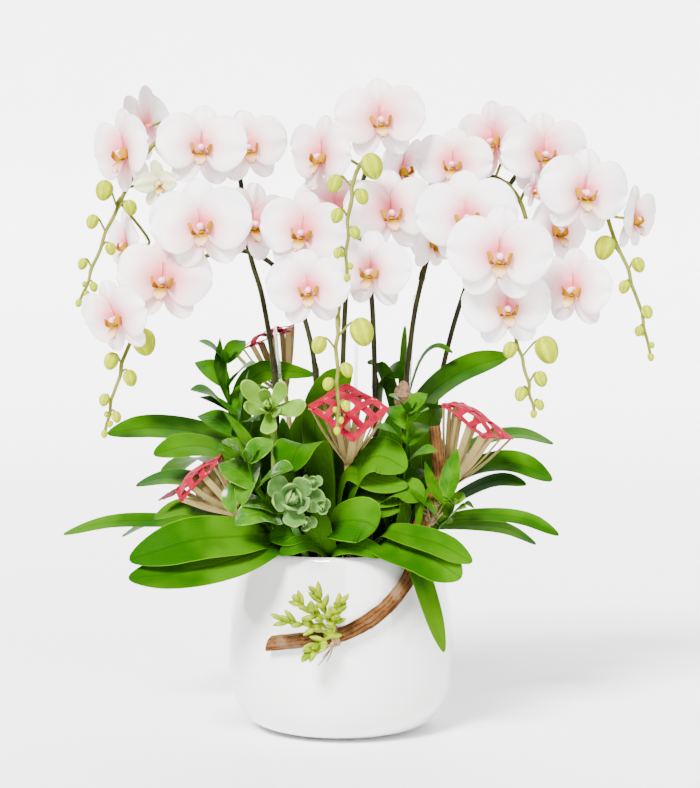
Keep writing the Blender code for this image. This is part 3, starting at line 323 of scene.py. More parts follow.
# Rosettes: foot, crown, turn and nod, leaf length and width, leaves and those of the heart, outer and
# inner rise, colours of the leaf, its rim and its point, and small rosettes beside it: place, turn, length.
ROSETTES = {
    "ghost_plant": ((-0.066, 0.004), (-72, 318, -62), (-6, -18), 40, 17, (9, 4), (12, 66),
                    ((0.080, 0.185, 0.012), (0.20, 0.34, 0.048), (0.24, 0.30, 0.060)), ()),
    "echeveria": ((-0.032, -0.080), (-49, 226, -126), (4, -14), 31, 22, (11, 7), (8, 74),
                  ((0.050, 0.130, 0.024), (0.150, 0.270, 0.075), (0.24, 0.26, 0.060)),
                  (((-30, 244, -130), 14, 12), ((-22, 219, -128), 26, 13), ((-37, 203, -128), 8, 13))),
}

# Thin leaves: colours of the leaf, its light parts and its edge, the edge's share, roughness and coat.
THIN_LEAVES = {
    "dark": ((0.009, 0.052, 0.0006), (0.026, 0.100, 0.001), (0.024, 0.090, 0.001), 0.10, 0.40, 0.0),
    "fresh": ((0.012, 0.062, 0.0004), (0.036, 0.115, 0.001), (0.045, 0.130, 0.001), 0.08, 0.36, 0.0),
    "pale": ((0.014, 0.070, 0.001), (0.044, 0.130, 0.004), (0.14, 0.26, 0.040), 0.09, 0.20, 0.30),
    "round": ((0.032, 0.115, 0.002), (0.075, 0.190, 0.006), (0.13, 0.25, 0.025), 0.14, 0.40, 0.0),
}

# Leafy sprigs: foot, stem way, leaf length and width in mm, leaf pairs, kind of leaf, and single
# leaflets beside them: way, width in mm, lean in degrees and kind.
SPRIGS = {
    "leafy_sprig_left": ((-0.074, 0.022), ((-100, 269, -33), (-112, 316, -27), (-115, 364, -25)),
                         46, 24, 5, "dark", (
        (((-113, 326, -28), (-122, 360, -28), (-121, 390, -24)), 23, 0, "dark"),
        (((-104, 300, -32), (-99, 332, -32), (-92, 358, -28)), 16, 0, "dark"),
        (((-104, 312, -32), (-124, 326, -36), (-142, 330, -36)), 15, -30, "dark"),
    )),
    "leafy_sprig_right": ((0.046, -0.030), ((62, 244, -62), (66, 282, -80), (67, 314, -84)),
                          37, 20, 5, "fresh", (
        (((104, 222, -100), (92, 240, -98), (84, 266, -86)), 20, 0, "fresh"),
        (((96, 212, -98), (84, 226, -100), (68, 238, -96)), 19, -20, "fresh"),
        (((78, 200, -96), (80, 222, -96), (92, 244, -90)), 18, 0, "fresh"),
    )),
    "variegated_sprig": ((-0.042, -0.070), ((-66, 214, -92), (-85, 238, -110), (-93, 264, -113)),
                         43, 29, 3, "pale", (
        (((-84, 270, -96), (-98, 292, -96), (-118, 316, -92)), 20, -20, "fresh"),
        (((-82, 268, -92), (-100, 284, -96), (-121, 286, -96)), 15, -34, "fresh"),
        (((-80, 262, -98), (-100, 268, -104), (-123, 284, -104)), 17, -30, "fresh"),
        (((-100, 222, -112), (-95, 242, -108), (-80, 263, -96)), 27, 0, "pale"),
        (((-108, 214, -96), (-112, 232, -92), (-102, 250, -84)), 17, 0, "pale"),
        (((-60, 206, -96), (-84, 216, -118), (-108, 201, -124)), 34, -36, "pale"),
    )),
    "pilea": ((0.082, -0.034), ((99, 202, -56), (109, 210, -78), (114, 222, -92)), 21, 16, 3, "round", (
        (((105, 226, -98), (110, 252, -92), (116, 279, -78)), 21, 0, "fresh"),
        (((120, 220, -64), (126, 224, -68), (134, 218, -72)), 9, 20, "pale"),
    )),
}

# Bamboo picks: foot, waist where the strips meet, the four corners of the woven head.
PICKS = {
    "bamboo_pick_left": ((-0.078, -0.044), (-103, 211, -62),
                         ((-160, 226, -84), (-164, 238, -60), (-120, 272, -46), (-126, 262, -74))),
    "bamboo_pick_back": ((-0.036, 0.050), (-56, 330, 58),
                         ((-108, 374, 46), (-80, 384, 82), (-48, 402, 84), (-52, 396, 44))),
    "bamboo_pick_centre": ((0.006, -0.036), (7, 262, -62),
                           ((-32, 320, -94), (5, 342, -62), (47, 318, -90), (12, 286, -110))),
    "bamboo_pick_right": ((0.070, -0.030), (108, 238, -30),
                          ((102, 322, -54), (120, 324, -30), (172, 288, -60), (142, 290, -88))),
}

# The fan's strips end at these places of the head, across and up it.
FAN = ((0.02, 0.02), (0.34, 0.02), (0.66, 0.02), (0.98, 0.02), (0.98, 0.34), (0.98, 0.66), (0.98, 0.98),
       (0.66, 0.98), (0.34, 0.98), (0.02, 0.98), (0.02, 0.66), (0.02, 0.34))
PICK_RADIUS = 0.0034
WEAVE_LINES = 4
WEAVE_STEPS = 24
WEAVE_WIDTH = 0.0072
WEAVE_LIFT = 0.0006
STRIP_THICK = 0.0010

# Vine branch: its way above the rim, then its way on the pot, in mm.
BRANCH_RADIUS = 0.0075
BRANCH_CLEAR = 0.0008
BRANCH_ABOVE = ((94, 301, -66), (97, 270, -68), (98, 242, -70), (91, 224, -74), (81, 206, -79),
                (77, 186, -86))
BRANCH_ON_POT = ((72, 158), (59, 134), (34, 109), (0, 91), (-41, 85), (-72, 82))

# The branch's end is cut at a slant, which starts this far before it.
CUT_REACH = 0.012
CUT_SLANT = 0.60

# Stonecrop: its foot on the pot, the reach of its arms in mm, and the leaves on each arm.
STONECROP_FOOT = (-4, 90)
STONECROP_LIFT = 0.0030
STONECROP_ARMS = ((-18, 40, -6), (-50, 16, -8), (-36, 34, -14), (2, 30, -12), (-26, -14, -10))
STONECROP_LEAVES = 10
STONECROP_LEAF = (0.0040, 0.0027, 0.0078)

# Trimmings: loose ends of the tie, and the strands of the fibre tuft.
TIE_TAILS = ((-0.015, -0.024), (-0.011, -0.017), (-0.016, -0.013), (-0.007, -0.021))
FIBRES = 26
FIBRE_RADIUS = 0.0005
FIBRE_SPANS = ((-0.014, 0.012), (-0.012, 0.006), (0.010, 0.026))

STAKES = {
    "stake_left": ((-0.044, 0.024), (-66, 400, 22)),
    "stake_centre": ((0.012, 0.018), (16, 400, 10)),
    "stake_right": ((0.058, 0.006), (74, 432, 8)),
}
STAKE_RADIUS = 0.0016


def tint(label, text, *default):
    """A colour that a user may change, as linear values."""
    return bpy.props.FloatVectorProperty(
        name=label, description=text, subtype="COLOR", size=3, min=0, max=1, default=default)


class OrchidColours(bpy.types.PropertyGroup):
    """Colours of the arrangement"""

    petal: tint("Petal", "White of the petals away from their middle", 0.90, 0.87, 0.86)
    blush: tint("Blush", "Pale pink that the white runs into", 0.86, 0.50, 0.50)
    flush: tint("Flush", "Pink at the foot of each petal", 0.68, 0.036, 0.070)
    lip: tint("Lip", "Yellow of the lip", 0.27, 0.125, 0.0003)
    lip_mark: tint("Lip Marks", "Orange red of the lip's stripes and middle", 0.20, 0.034, 0.004)
    bud: tint("Bud", "Yellow green of the buds", 0.270, 0.300, 0.0003)
    spike: tint("Spike", "Dark olive brown of the flower stems", 0.0085, 0.0075, 0.0018)
    leaf: tint("Leaf", "Green of the orchid leaves", 0.0078, 0.050, 0.0004)
    leaf_light: tint("Leaf Light", "Yellow green of the lighter parts of a leaf", 0.034, 0.112, 0.0006)
    glaze: tint("Glaze", "White of the pot's glaze", 0.74, 0.74, 0.73)
    paint: tint("Paint", "Red of the painted bamboo heads", 0.170, 0.0006, 0.0100)
    bamboo: tint("Bamboo", "Straw colour of the bamboo strips", 0.290, 0.210, 0.068)
    bark: tint("Bark", "Brown of the vine branch", 0.086, 0.034, 0.010)


class OrchidSizes(bpy.types.PropertyGroup):
    """Thicknesses and counts that set how fine the arrangement is"""

    petal_thick: bpy.props.FloatProperty(
        name="Petal Thickness", description="Thickness of petals and sepals", unit="LENGTH",
        min=0.0002, default=0.0007)
    leaf_thick: bpy.props.FloatProperty(
        name="Leaf Thickness", description="Greatest thickness of an orchid leaf", unit="LENGTH",
        min=0.0005, default=0.0022)
    petal_across: bpy.props.IntProperty(
        name="Petal Faces", description="Faces across one petal", min=6, default=18)
    leaf_along: bpy.props.IntProperty(
        name="Leaf Faces", description="Faces along one orchid leaf", min=8, default=40)
    pot_sides: bpy.props.IntProperty(
        name="Pot Sides", description="Faces round the pot", min=24, default=112)
    chips: bpy.props.IntProperty(
        name="Bark Chips", description="Chips on top of the bark mix", min=0, default=260)


class Tap:
    """A socket of a material's nodes. Maths written on it adds the nodes that work it out."""

    def __init__(self, tree, socket):
        self.tree = tree
        self.socket = socket

    def node(self, kind, settings=None, inputs=None, output=0):
        """Adds one node: its settings first, then the values or links of its sockets."""
        made = self.tree.nodes.new(kind)
        for key, value in (settings or {}).items():
            setattr(made, key, value)
        for key, value in (inputs or {}).items():
            if isinstance(value, Tap):
                self.tree.links.new(value.socket, made.inputs[key])
            else:
                made.inputs[key].default_value = value
        return Tap(self.tree, made.outputs[output])

    def maths(self, operation, other=0.0, swapped=False):
        first, second = (other, self) if swapped else (self, other)
        return self.node("ShaderNodeMath", {"operation": operation}, {0: first, 1: second})

    def __add__(self, other):
        return self.maths("ADD", other)

    def __sub__(self, other):
        return self.maths("SUBTRACT", other)

    def __rsub__(self, other):
        return self.maths("SUBTRACT", other, True)

    def __mul__(self, other):
        return self.maths("MULTIPLY", other)

    def __pow__(self, other):
        return self.maths("POWER", other)

    __radd__ = __add__
    __rmul__ = __mul__

    def sine(self):
        return self.maths("SINE")

    def cosine(self):
        return self.maths("COSINE")

    def size(self):
        return self.maths("ABSOLUTE")

    def between(self, low, high):
        """0 up to low, 1 from high on, and smooth in between."""
        return self.node("ShaderNodeMapRange", {"interpolation_type": "SMOOTHSTEP"},
                         {"Value": self, "From Min": low, "From Max": high})

    def noise(self, scale, detail=3.0, rough=0.5, stretch=None):
        """Noise from 0 to 1 at these coordinates, which a stretch may scale along each axis."""
        where = self
        if stretch:
            where = self.node("ShaderNodeMapping", None, {"Vector": self, "Scale": stretch})
        return self.node("ShaderNodeTexNoise", None,
                         {"Vector": where, "Scale": scale, "Detail": detail, "Roughness": rough})

    def part(self, axis):
        """The X, Y or Z of these coordinates, by number."""
        return self.node("ShaderNodeSeparateXYZ", None, {"Vector": self}, axis)


class Finish:
    """A material under way: its coordinates, its shader and the colour laid on so far."""

    def __init__(self, name, roughness, **constants):
        self.material = bpy.data.materials.new(name)
        self.material.use_nodes = True
        self.tree = self.material.node_tree
        self.shader = self.tree.nodes["Principled BSDF"]
        self.shader.inputs["Roughness"].default_value = roughness
        for key, value in constants.items():
            self.shader.inputs[key.replace("_", " ")].default_value = value
        start = Tap(self.tree, None)
        self.place = start.node("ShaderNodeTexCoord", None, None, 3)
        surface = start.node("ShaderNodeUVMap", {"uv_map": "UVMap"})
        self.across, self.along = surface.part(0), surface.part(1)
        self.noise = self.place.noise
        self.colour = None

    def value(self, colour):
        """A colour for a socket: a Tap, three numbers, or the name of one of the user's colours."""
        if isinstance(colour, Tap):
            return colour
        if isinstance(colour, str):
            colour = getattr(bpy.context.scene.orchid_colours, colour)
        return (*colour, 1)

    def mix(self, share, first, second):
        """A colour between two."""
        return self.place.node("ShaderNodeMix", {"data_type": "RGBA"},
                               {0: share, 6: self.value(first), 7: self.value(second)}, 2)

    def base(self, share, first, second):
        self.colour = self.mix(share, first, second)

    def over(self, share, colour):
        """Lays a share of a colour over what there is."""
        self.colour = self.mix(share, self.colour, colour)

    def attribute(self, name):
        return self.place.node("ShaderNodeAttribute", {"attribute_name": name}, None, 2)

    def bent(self):
        """Where a blade's section is, from 1 at its left edge over 0 at its middle to -1."""
        return (self.across * 6.2832).cosine()

    def rims(self, low, high=1.0):
        """1 along both edges of a sheet."""
        return ((self.across - 0.5).size() * 2.0).between(low, high)

    def heart(self):
        """1 in the crowded middle of the foliage, where hardly any light comes, and 0 outside it."""
        x, y, z = (self.place.part(axis) for axis in range(3))
        near = 1.0 - (x * x + y * y).between(0.0030, 0.0125)
        return near * (1.0 - z.between(0.24, 0.34)) * z.between(0.15, 0.19)

    def into(self, socket, value):
        self.tree.links.new(value.socket, self.shader.inputs[socket])

    def done(self, height=None, depth=0.0, strength=1.0):
        """Puts the colour in, and relief from a height of 0 to 1 that stands this deep, in metres."""
        self.into("Base Color", self.colour)
        if height:
            self.into("Normal", self.place.node(
                "ShaderNodeBump", None, {"Height": height, "Distance": depth, "Strength": strength}))


def finished(name, make, *values):
    """The material of this name, made the first time that it is asked for."""
    if name not in bpy.data.materials:
        make(name, *values)
    return bpy.data.materials[name]


def tepal_finish(name, white, pinkness):
    """White tepals with patches of painted grey shade, pink at the foot, with fine veins that fan out and a
    thin edge of painted shade.
    """
    finish = Finish(name, 0.50, Subsurface_Weight=0.10, Subsurface_Scale=0.003, Specular_IOR_Level=0.3)
    middle = finish.across - 0.5
    far = finish.attribute("far") * (1.14 - finish.noise(9.0, 1.0).between(0.35, 0.65) * 0.36)
    drift = finish.noise(60.0, 2.0)
    veins = (middle * 64.0 + drift * 3.0).sine().size() ** 6.0
    flush = (1.0 - (far + drift * 0.10).between(0.07, 0.35)) * (0.74 + drift * 0.5)
    blush = (1.0 - far.between(0.12, 0.50)) * (drift * 0.8 + 0.20)
    # Painted shade: grey lavender patches laid over the white at random places, fewer on the opening flower.
    finish.base(finish.noise(26.0, 2.0).between(0.35, 0.70) * 0.8 * pinkness, white, (0.76, 0.75, 0.79))
    finish.over(blush * pinkness, "blush")
    finish.over(flush * pinkness * (0.82 + veins * 0.18), "flush")
    finish.over(veins * (0.12 - far * 0.2), "blush")
    # Painted shade: a thin grey pink line along the rims and round the tip, where the tepals overlap.
    finish.over((finish.rims(0.90) + finish.along.between(0.95, 1.0)) * 0.34, (0.48, 0.34, 0.34))
    broad = (middle * 15.0 + drift * 2.0).sine()
    finish.done(veins * -0.10 + broad * 0.8 + finish.noise(900.0, 2.0) * 0.10, 0.0008, 0.6)


def lip_finish(name, tip, share):
    """The lip: yellow, another colour further out, with red brown stripes and spots."""
    finish = Finish(name, 0.42, Subsurface_Weight=0.02, Subsurface_Scale=0.001, IOR=1.08)
    spots = finish.noise(420.0, 2.0).between(0.46, 0.60)
    stripes = (finish.across * 44.0 + finish.noise(120.0) * 4.0).sine().between(0.1, 0.8)
    foot = 1.0 - finish.along.between(0.10, 0.60)
    finish.base(finish.noise(90.0).between(0.3, 0.7), "lip", (0.33, 0.19, 0.0005))
    finish.over(finish.along.between(0.30, 0.85) * share, tip)
    finish.over((foot * 0.9 + finish.rims(0.80) * 0.5) * (stripes * 0.6 + spots * 0.4), "lip_mark")
    finish.done(spots, 0.0002, 0.4)


def column_finish(name):
    """The column: near white, flushed with pink."""
    finish = Finish(name, 0.35, Subsurface_Weight=0.1, Subsurface_Scale=0.003)
    finish.base(finish.noise(160.0).between(0.35, 0.75), (0.84, 0.46, 0.50), "blush")
    finish.done()


def spike_finish(name):
    """Flower stems: dark olive brown below, yellow green at the tails, mottled."""
    finish = Finish(name, 0.52, Specular_IOR_Level=0.10)
    mottle = finish.noise(140.0, 4.0, 0.6, (1.0, 1.0, 0.25))
    finish.base(mottle.between(0.35, 0.65), "spike", (0.024, 0.026, 0.004))
    tail = finish.mix(mottle.between(0.3, 0.7), (0.090, 0.100, 0.007), (0.155, 0.165, 0.018))
    finish.over((finish.attribute("along") + mottle * 0.16).between(0.52, 0.82), tail)
    finish.done(finish.noise(500.0, 3.0), 0.0003, 0.4)


def bud_finish(name):
    """Buds: yellow green with paler ribs and a darker tip."""
    finish = Finish(name, 0.46, IOR=1.06)
    ribs = (finish.across * 37.7).sine().between(-0.4, 0.9)
    finish.base(ribs, "bud", (0.36, 0.43, 0.0003))
    finish.over(finish.noise(200.0).between(0.4, 0.8) * 0.5, (0.12, 0.18, 0.001))
    finish.over((1.0 - finish.along.between(0.0, 0.28)) * 0.6, (0.10, 0.14, 0.002))
    finish.done(ribs, 0.0004, 0.5)


def leaf_finish(name):
    """Thick glossy leaf: a fold line down the middle, faint parallel veins, lighter patches, painted shade in
    the crowded middle of the plant.
    """
    finish = Finish(name, 0.34, IOR=1.05)
    bent = finish.bent()
    middle = 1.0 - bent.size().between(0.0, 0.10)
    tone = finish.noise(13.0, 3.0)
    veins = (bent * 52.0 + finish.noise(40.0) * 2.0).sine()
    finish.base(tone.between(0.38, 0.64), "leaf", "leaf_light")
    finish.over(veins.between(0.2, 1.0) * 0.12, "leaf_light")
    finish.over(middle * 0.42, (0.005, 0.030, 0.0005))
    finish.over((1.0 - finish.along.between(0.0, 0.22)) * 0.40, (0.050, 0.100, 0.002))
    finish.over((1.0 - finish.place.part(2).between(0.11, 0.17)) * 0.75, (0.060, 0.150, 0.0004))
    finish.over(bent.size().between(0.955, 0.995) * 0.7, (0.090, 0.200, 0.002))
    finish.over((1.0 - finish.across.between(0.48, 0.52)) * 0.50, (0.034, 0.095, 0.003))
    # Painted shade: the leaves turn dark green in the crowded middle of the foliage.
    finish.over(finish.heart() * 0.76, (0.0015, 0.012, 0.0002))
    finish.into("Roughness", tone * 0.16 + 0.28)
    finish.done(veins * 0.10 - middle * 0.5, 0.0008, 0.7)


def succulent_finish(name, base, rim, tip):
    """Bloomy succulent leaf: waxy, with a paler rim and a tinted point."""
    finish = Finish(name, 0.52, Subsurface_Weight=0.04, Subsurface_Scale=0.003, IOR=1.10)
    finish.base(finish.noise(70.0, 3.0).between(0.35, 0.70) * 0.5, base, rim)
    finish.over(finish.bent().size().between(0.80, 1.0) * 0.6, rim)
    finish.over(finish.along.between(0.86, 1.0) * 0.7, tip)
    finish.over((1.0 - finish.along.between(0.0, 0.25)) * 0.4, (0.06, 0.13, 0.010))
    finish.done(finish.noise(380.0, 3.0), 0.0003, 0.4)


def thin_leaf_finish(name, base, light, margin, share, gloss, coat):
    """A thin leaf with a middle rib and side veins, a margin of its own colour, and painted shade in the
    crowded middle of the foliage.
    """
    finish = Finish(name, gloss, IOR=1.09, Coat_Weight=coat, Coat_Roughness=0.18)
    aside = finish.bent().size()
    rib = 1.0 - aside.between(0.0, 0.12)
    ribs = (finish.along * 46.0 - aside * 9.0).sine().between(0.6, 1.0)
    tone = finish.noise(55.0, 3.0)
    finish.base(tone.between(0.35, 0.68), base, light)
    finish.over(ribs * 0.22, light)
    finish.over(rib * 0.45, light)
    finish.over((aside + finish.noise(160.0, 2.0) * 0.35).between(1.20 - share, 1.26 - share), margin)
    # Painted shade: darker in the crowded middle of the foliage.
    finish.over(finish.heart() * 0.65, (0.003, 0.020, 0.0004))
    finish.into("Roughness", tone * 0.14 + (gloss - 0.06))
    finish.done(1.0 - ribs * 0.6 - rib * 0.4, 0.0004, 0.5)


def bamboo_finish(name):
    """Split bamboo: straw coloured, with long fibres and darker scars."""
    finish = Finish(name, 0.62, IOR=1.10)
    fibres = (finish.across * 38.0 + finish.noise(60.0, 2.0) * 5.0).sine()
    scars = finish.noise(170.0, 4.0, 0.7).between(0.60, 0.74)
    finish.base(fibres.between(-0.6, 1.0) * 0.70, "bamboo", (0.420, 0.340, 0.140))
    finish.over(scars * 0.5, (0.130, 0.070, 0.020))
    finish.over(finish.rims(0.80) * 0.60, (0.110, 0.066, 0.020))
    finish.over(finish.along.between(0.96, 1.0) * 0.4, (0.42, 0.10, 0.070))
    finish.done(fibres * 0.4 + scars * -0.6, 0.0006, 0.8)


def paint_finish(name):
    """Red paint worn off the edges of the bamboo, down to pink and bare wood."""
    finish = Finish(name, 0.55, IOR=1.08)
    edge = finish.rims(0.62)
    wear = finish.noise(150.0, 4.0, 0.65)
    bare = (wear + edge * 0.05).between(0.66, 0.75)
    finish.base(wear.between(0.30, 0.55), "paint", (0.215, 0.0014, 0.0160))
    finish.over(edge * 0.20, (0.32, 0.030, 0.040))
    finish.over(bare * 0.75, (0.66, 0.48, 0.36))
    finish.into("Roughness", bare * 0.2 + 0.42)
    finish.done(1.0 - bare, 0.0003, 0.5)


def bark_finish(name):
    """Vine bark: reddish brown, with long cracks and grey scales."""
    finish = Finish(name, 0.90, IOR=1.08)
    scales = finish.noise(75.0, 4.0, 0.6)
    ridges = (finish.across * 62.8 + scales * 9.0 + finish.along * 14.0).sine() * 0.5 + 0.5
    cracks = finish.noise(190.0, 5.0, 0.65) * 0.6 + ridges * 0.32
    finish.base(scales.between(0.35, 0.65), "bark", (0.138, 0.064, 0.022))
    finish.over(cracks.between(0.50, 0.64) * 0.75, (0.024, 0.010, 0.004))
    finish.over(finish.noise(48.0, 2.0).between(0.56, 0.68) * 0.50, (0.170, 0.112, 0.060))
    finish.done(scales * 0.5 - cracks * 0.8, 0.0016, 0.9)


def heartwood_finish(name):
    """The branch's cut end: pale wood with rings."""
    finish = Finish(name, 0.75)
    rings = (finish.along * 60.0 + finish.noise(300.0) * 3.0).sine().between(0.0, 1.0)
    finish.base(rings, (0.52, 0.36, 0.20), (0.34, 0.20, 0.10))
    finish.done(rings, 0.0003, 0.5)


def chip_finish(name):
    """Bark chips and moss: browns with darker pores."""
    finish = Finish(name, 0.88)
    pores = finish.noise(320.0, 4.0, 0.7)
    finish.base(finish.noise(38.0, 4.0).between(0.34, 0.62), (0.055, 0.028, 0.014), (0.22, 0.12, 0.06))
    finish.over(pores.between(0.55, 0.70) * 0.6, (0.020, 0.012, 0.008))
    finish.done(pores, 0.0008, 0.8)


def moss_finish(name):
    """The matted top of the bark mix: dark peat with some green."""
    finish = Finish(name, 0.95)
    tone = finish.noise(60.0, 5.0, 0.6)
    finish.base(tone.between(0.35, 0.65), (0.030, 0.017, 0.010), (0.10, 0.062, 0.030))
    finish.over(finish.noise(24.0, 3.0).between(0.52, 0.64) * 0.7, (0.07, 0.11, 0.02))
    finish.done(tone, 0.003, 1.0)


def stake_finish(name):
    """Clear plastic with fine scratches."""
    finish = Finish(name, 0.10, Transmission_Weight=0.85, IOR=1.45, Coat_Weight=0.3)
    rub = finish.noise(240.0, 3.0)
    finish.base(rub.between(0.4, 0.7), (0.86, 0.90, 0.84), (0.74, 0.80, 0.74))
    finish.into("Roughness", rub * 0.18 + 0.06)
    finish.done(rub, 0.0002, 0.3)


def fibre_finish(name, base, light):
    """Dry fibres: streaked along their length."""
    finish = Finish(name, 0.80)
    tone = finish.noise(260.0, 3.0, 0.6)
    finish.base(tone.between(0.36, 0.64), base, light)
    finish.done(tone, 0.0003, 0.6)


def stonecrop_finish(name):
    """Stonecrop: small fat leaves, pale green with yellow tips."""
    finish = Finish(name, 0.48, Subsurface_Weight=0.04, Subsurface_Scale=0.002, IOR=1.10)
    finish.base(finish.noise(90.0, 2.0).between(0.36, 0.66), (0.110, 0.175, 0.0006), (0.245, 0.315, 0.003))
    finish.over(finish.along.between(0.70, 1.0) * 0.6, (0.32, 0.37, 0.010))
    finish.done(finish.noise(500.0, 2.0), 0.0002, 0.4)


def glaze_finish(name):
    """White glaze: glossy, with a faint pooling of the glaze and fine pinholes."""
    finish = Finish(name, 0.16, Coat_Weight=1.0, Coat_Roughness=0.05, Coat_IOR=1.8)
    cloud = finish.noise(9.0, 3.0)
    pits = finish.noise(420.0, 2.0).between(0.66, 0.76)
    finish.base(cloud.between(0.3, 0.7) * 0.5, "glaze", (0.70, 0.70, 0.68))
    finish.over(pits * 0.08, (0.45, 0.42, 0.38))
    finish.into("Roughness", cloud * 0.10 + 0.11)
    finish.done(cloud * 0.8 - pits * 0.3, 0.0008, 0.25)


def floor_finish(name):
    """Plain pale floor with a barely uneven sheen."""
    finish = Finish(name, 0.55)
    finish.base(finish.noise(3.0, 2.0), (0.90, 0.90, 0.90), (0.94, 0.94, 0.94))
    finish.done()


def seen(x, z, y=0.0):
    """The place that shows at x, z (mm, in the plane of the pot's axis) and lies y mm behind it."""
    spread = 1 + y * MM / -EYE.y
    return Vector((EYE.x + (x * MM - EYE.x) * spread, y * MM, EYE.z + (z * MM - EYE.z) * spread))


def smooth_way(points, steps):
    """Points on one smooth curve through all the given ones, with so many steps between each two."""
    ends = [2 * points[0] - points[1], *points, 2 * points[-1] - points[-2]]
    way = []
    for before, start, stop, after in zip(ends, ends[1:], ends[2:], ends[3:]):
        for step in range(steps):
            t = step / steps
            way.append(0.5 * (2 * start + (stop - before) * t
                              + (2 * before - 5 * start + 4 * stop - after) * t * t
                              + (3 * start - before - 3 * stop + after) * t ** 3))
    way.append(points[-1])
    return way


def scaled(points, size):
    return [Vector(point) * size for point in points]


def turned(axis):
    """The turn that brings Z along an axis."""
    return axis.to_track_quat("Z", "Y").to_matrix().to_4x4()


def pick(pieces):
    bpy.ops.object.select_all(action="DESELECT")
    for piece in pieces:
        piece.select_set(True)
    bpy.context.view_layer.objects.active = pieces[0]


def added(name):
    """The object that was added last, under this name."""
    piece = bpy.context.object
    piece.name = name
    return piece


def painted(piece, finish):
    piece.data.materials.clear()
    piece.data.materials.append(finish)
    return piece


def joined(name, pieces):
    """One piece from several, which keep their own finishes."""
    pick(pieces)
    if len(pieces) > 1:
        bpy.ops.object.join()
    whole = added(name)
    whole.data.name = name
    return whole


def settled(piece, slot, *nodes):
    """Ends a piece: smooth, with its place in its mesh, and the CAD nodes that it is for. The slot is not
    used.
    """
    pick([piece])
    bpy.ops.object.transform_apply(location=True, rotation=True, scale=True)
    bpy.ops.object.shade_smooth_by_angle(angle=math.radians(50))
    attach(piece, "root")
    if nodes:
        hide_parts(*nodes)


def applied(piece, kind, **settings):
    """Adds one modifier with its settings and applies it."""
    pick([piece])
    change = piece.modifiers.new(kind.title(), kind)
    for key, value in settings.items():
        setattr(change, key, value)
    bpy.ops.object.modifier_apply(modifier=change.name)
    return piece


def welded(piece, distance=1e-6):
    """Merges the doubles of a closed piece and turns its faces outwards."""
    pick([piece])
    bpy.ops.object.mode_set(mode="EDIT")
    bpy.ops.mesh.select_all(action="SELECT")
    bpy.ops.mesh.remove_doubles(threshold=distance)
    bpy.ops.mesh.normals_make_consistent(inside=False)
    bpy.ops.object.mode_set(mode="OBJECT")
    return piece


def roughened(piece, depth, scale):
    """Pushes a piece's points in and out by noise of this depth."""
    for vert in piece.data.vertices:
        push = noise.noise(vert.co * scale) + 0.5 * noise.noise(vert.co * scale * 2.7)
        vert.co += vert.normal * (push * depth)
    return piece


def sheet(name, faces, shape, finish):
    """A grid primitive bent to shape(u, v): u from 0 to 1 along it and v from -1 to 1 across it."""
    bpy.ops.mesh.primitive_grid_add(x_subdivisions=faces[0], y_subdivisions=faces[1], size=2)
    piece = added(name)
    for vert in piece.data.vertices:
        vert.co = shape((vert.co.y + 1) / 2, vert.co.x)
    return painted(piece, finish)


def rod(name, points, radii, finish, sides=8, start=0.0, stop=1.0):
    """A round stem along the points, with its share of the way kept as the attribute "along"."""
    if isinstance(radii, float):
        radii = [radii] * len(points)
    bpy.ops.curve.primitive_nurbs_path_add()
    piece = added(name)
    curve = piece.data
    curve.splines.clear()
    line = curve.splines.new("POLY")
    line.points.add(len(points) - 1)
    for knot, place, radius in zip(line.points, points, radii):
        knot.co = (*place, 1)
        knot.radius = radius
    curve.dimensions = "3D"
    curve.bevel_depth = 1.0
    curve.bevel_resolution = max(0, sides // 2 - 2)
    curve.use_fill_caps = True
    bpy.ops.object.convert(target="MESH")
    mesh = piece.data
    last = len(points) - 1
    rings = [min(vert.index // sides, last) / last for vert in mesh.vertices]
    share = mesh.attributes.new("along", "FLOAT", "POINT")
    for vert in mesh.vertices:
        share.data[vert.index].value = start + (stop - start) * rings[vert.index]
    flat = mesh.uv_layers.get("UVMap") or mesh.uv_layers.new(name="UVMap")
    for face in mesh.polygons:
        corners = [mesh.loops[loop].vertex_index for loop in face.loop_indices]
        columns = [corner % sides for corner in corners]
        over_seam = max(columns) - min(columns) > sides // 2
        for loop, corner, column in zip(face.loop_indices, corners, columns):
            if over_seam and column < sides // 2:
                column += sides
            flat.data[loop].uv = (column / sides, rings[corner])
    return painted(welded(piece), finish)


def ball(name, centre, size, faces, finish, axis=None, shape=None):
    """A UV sphere with these half sizes, its Z along the axis, and reshaped point by point if need be."""
    bpy.ops.mesh.primitive_uv_sphere_add(segments=faces[0], ring_count=faces[1], radius=1)
    piece = added(name)
    if shape:
        for vert in piece.data.vertices:
            vert.co = shape(vert.co)
    turn = turned(axis) if axis else Matrix()
    piece.data.transform(Matrix.Translation(centre) @ turn @ Matrix.Diagonal((*size, 1)))
    return painted(piece, finish)


def pot_radius(height):
    """The pot's outer radius at a height, on straight runs between its named points."""
    for (upper, top), (lower, bottom) in zip(POT_OUTSIDE, POT_OUTSIDE[1:]):
        if bottom <= height <= top:
            return lower + (upper - lower) * (height - bottom) / (top - bottom)
    return POT_OUTSIDE[0][0]


def on_pot(x, z, radius, clear=GAP):
    """The place of something of this radius that lies against the front of the pot."""
    near = Vector((x * MM, 0, z * MM))
    for _ in range(4):
        reach = pot_radius(near.z) + radius + clear
        near = seen(x, z, -math.sqrt(max(0, reach ** 2 - near.x ** 2)) / MM)
    return near


def foot_points(foot):
    return [Vector((*foot, HOLE_FLOOR)), Vector((*foot, SOIL_TOP + 0.006))]


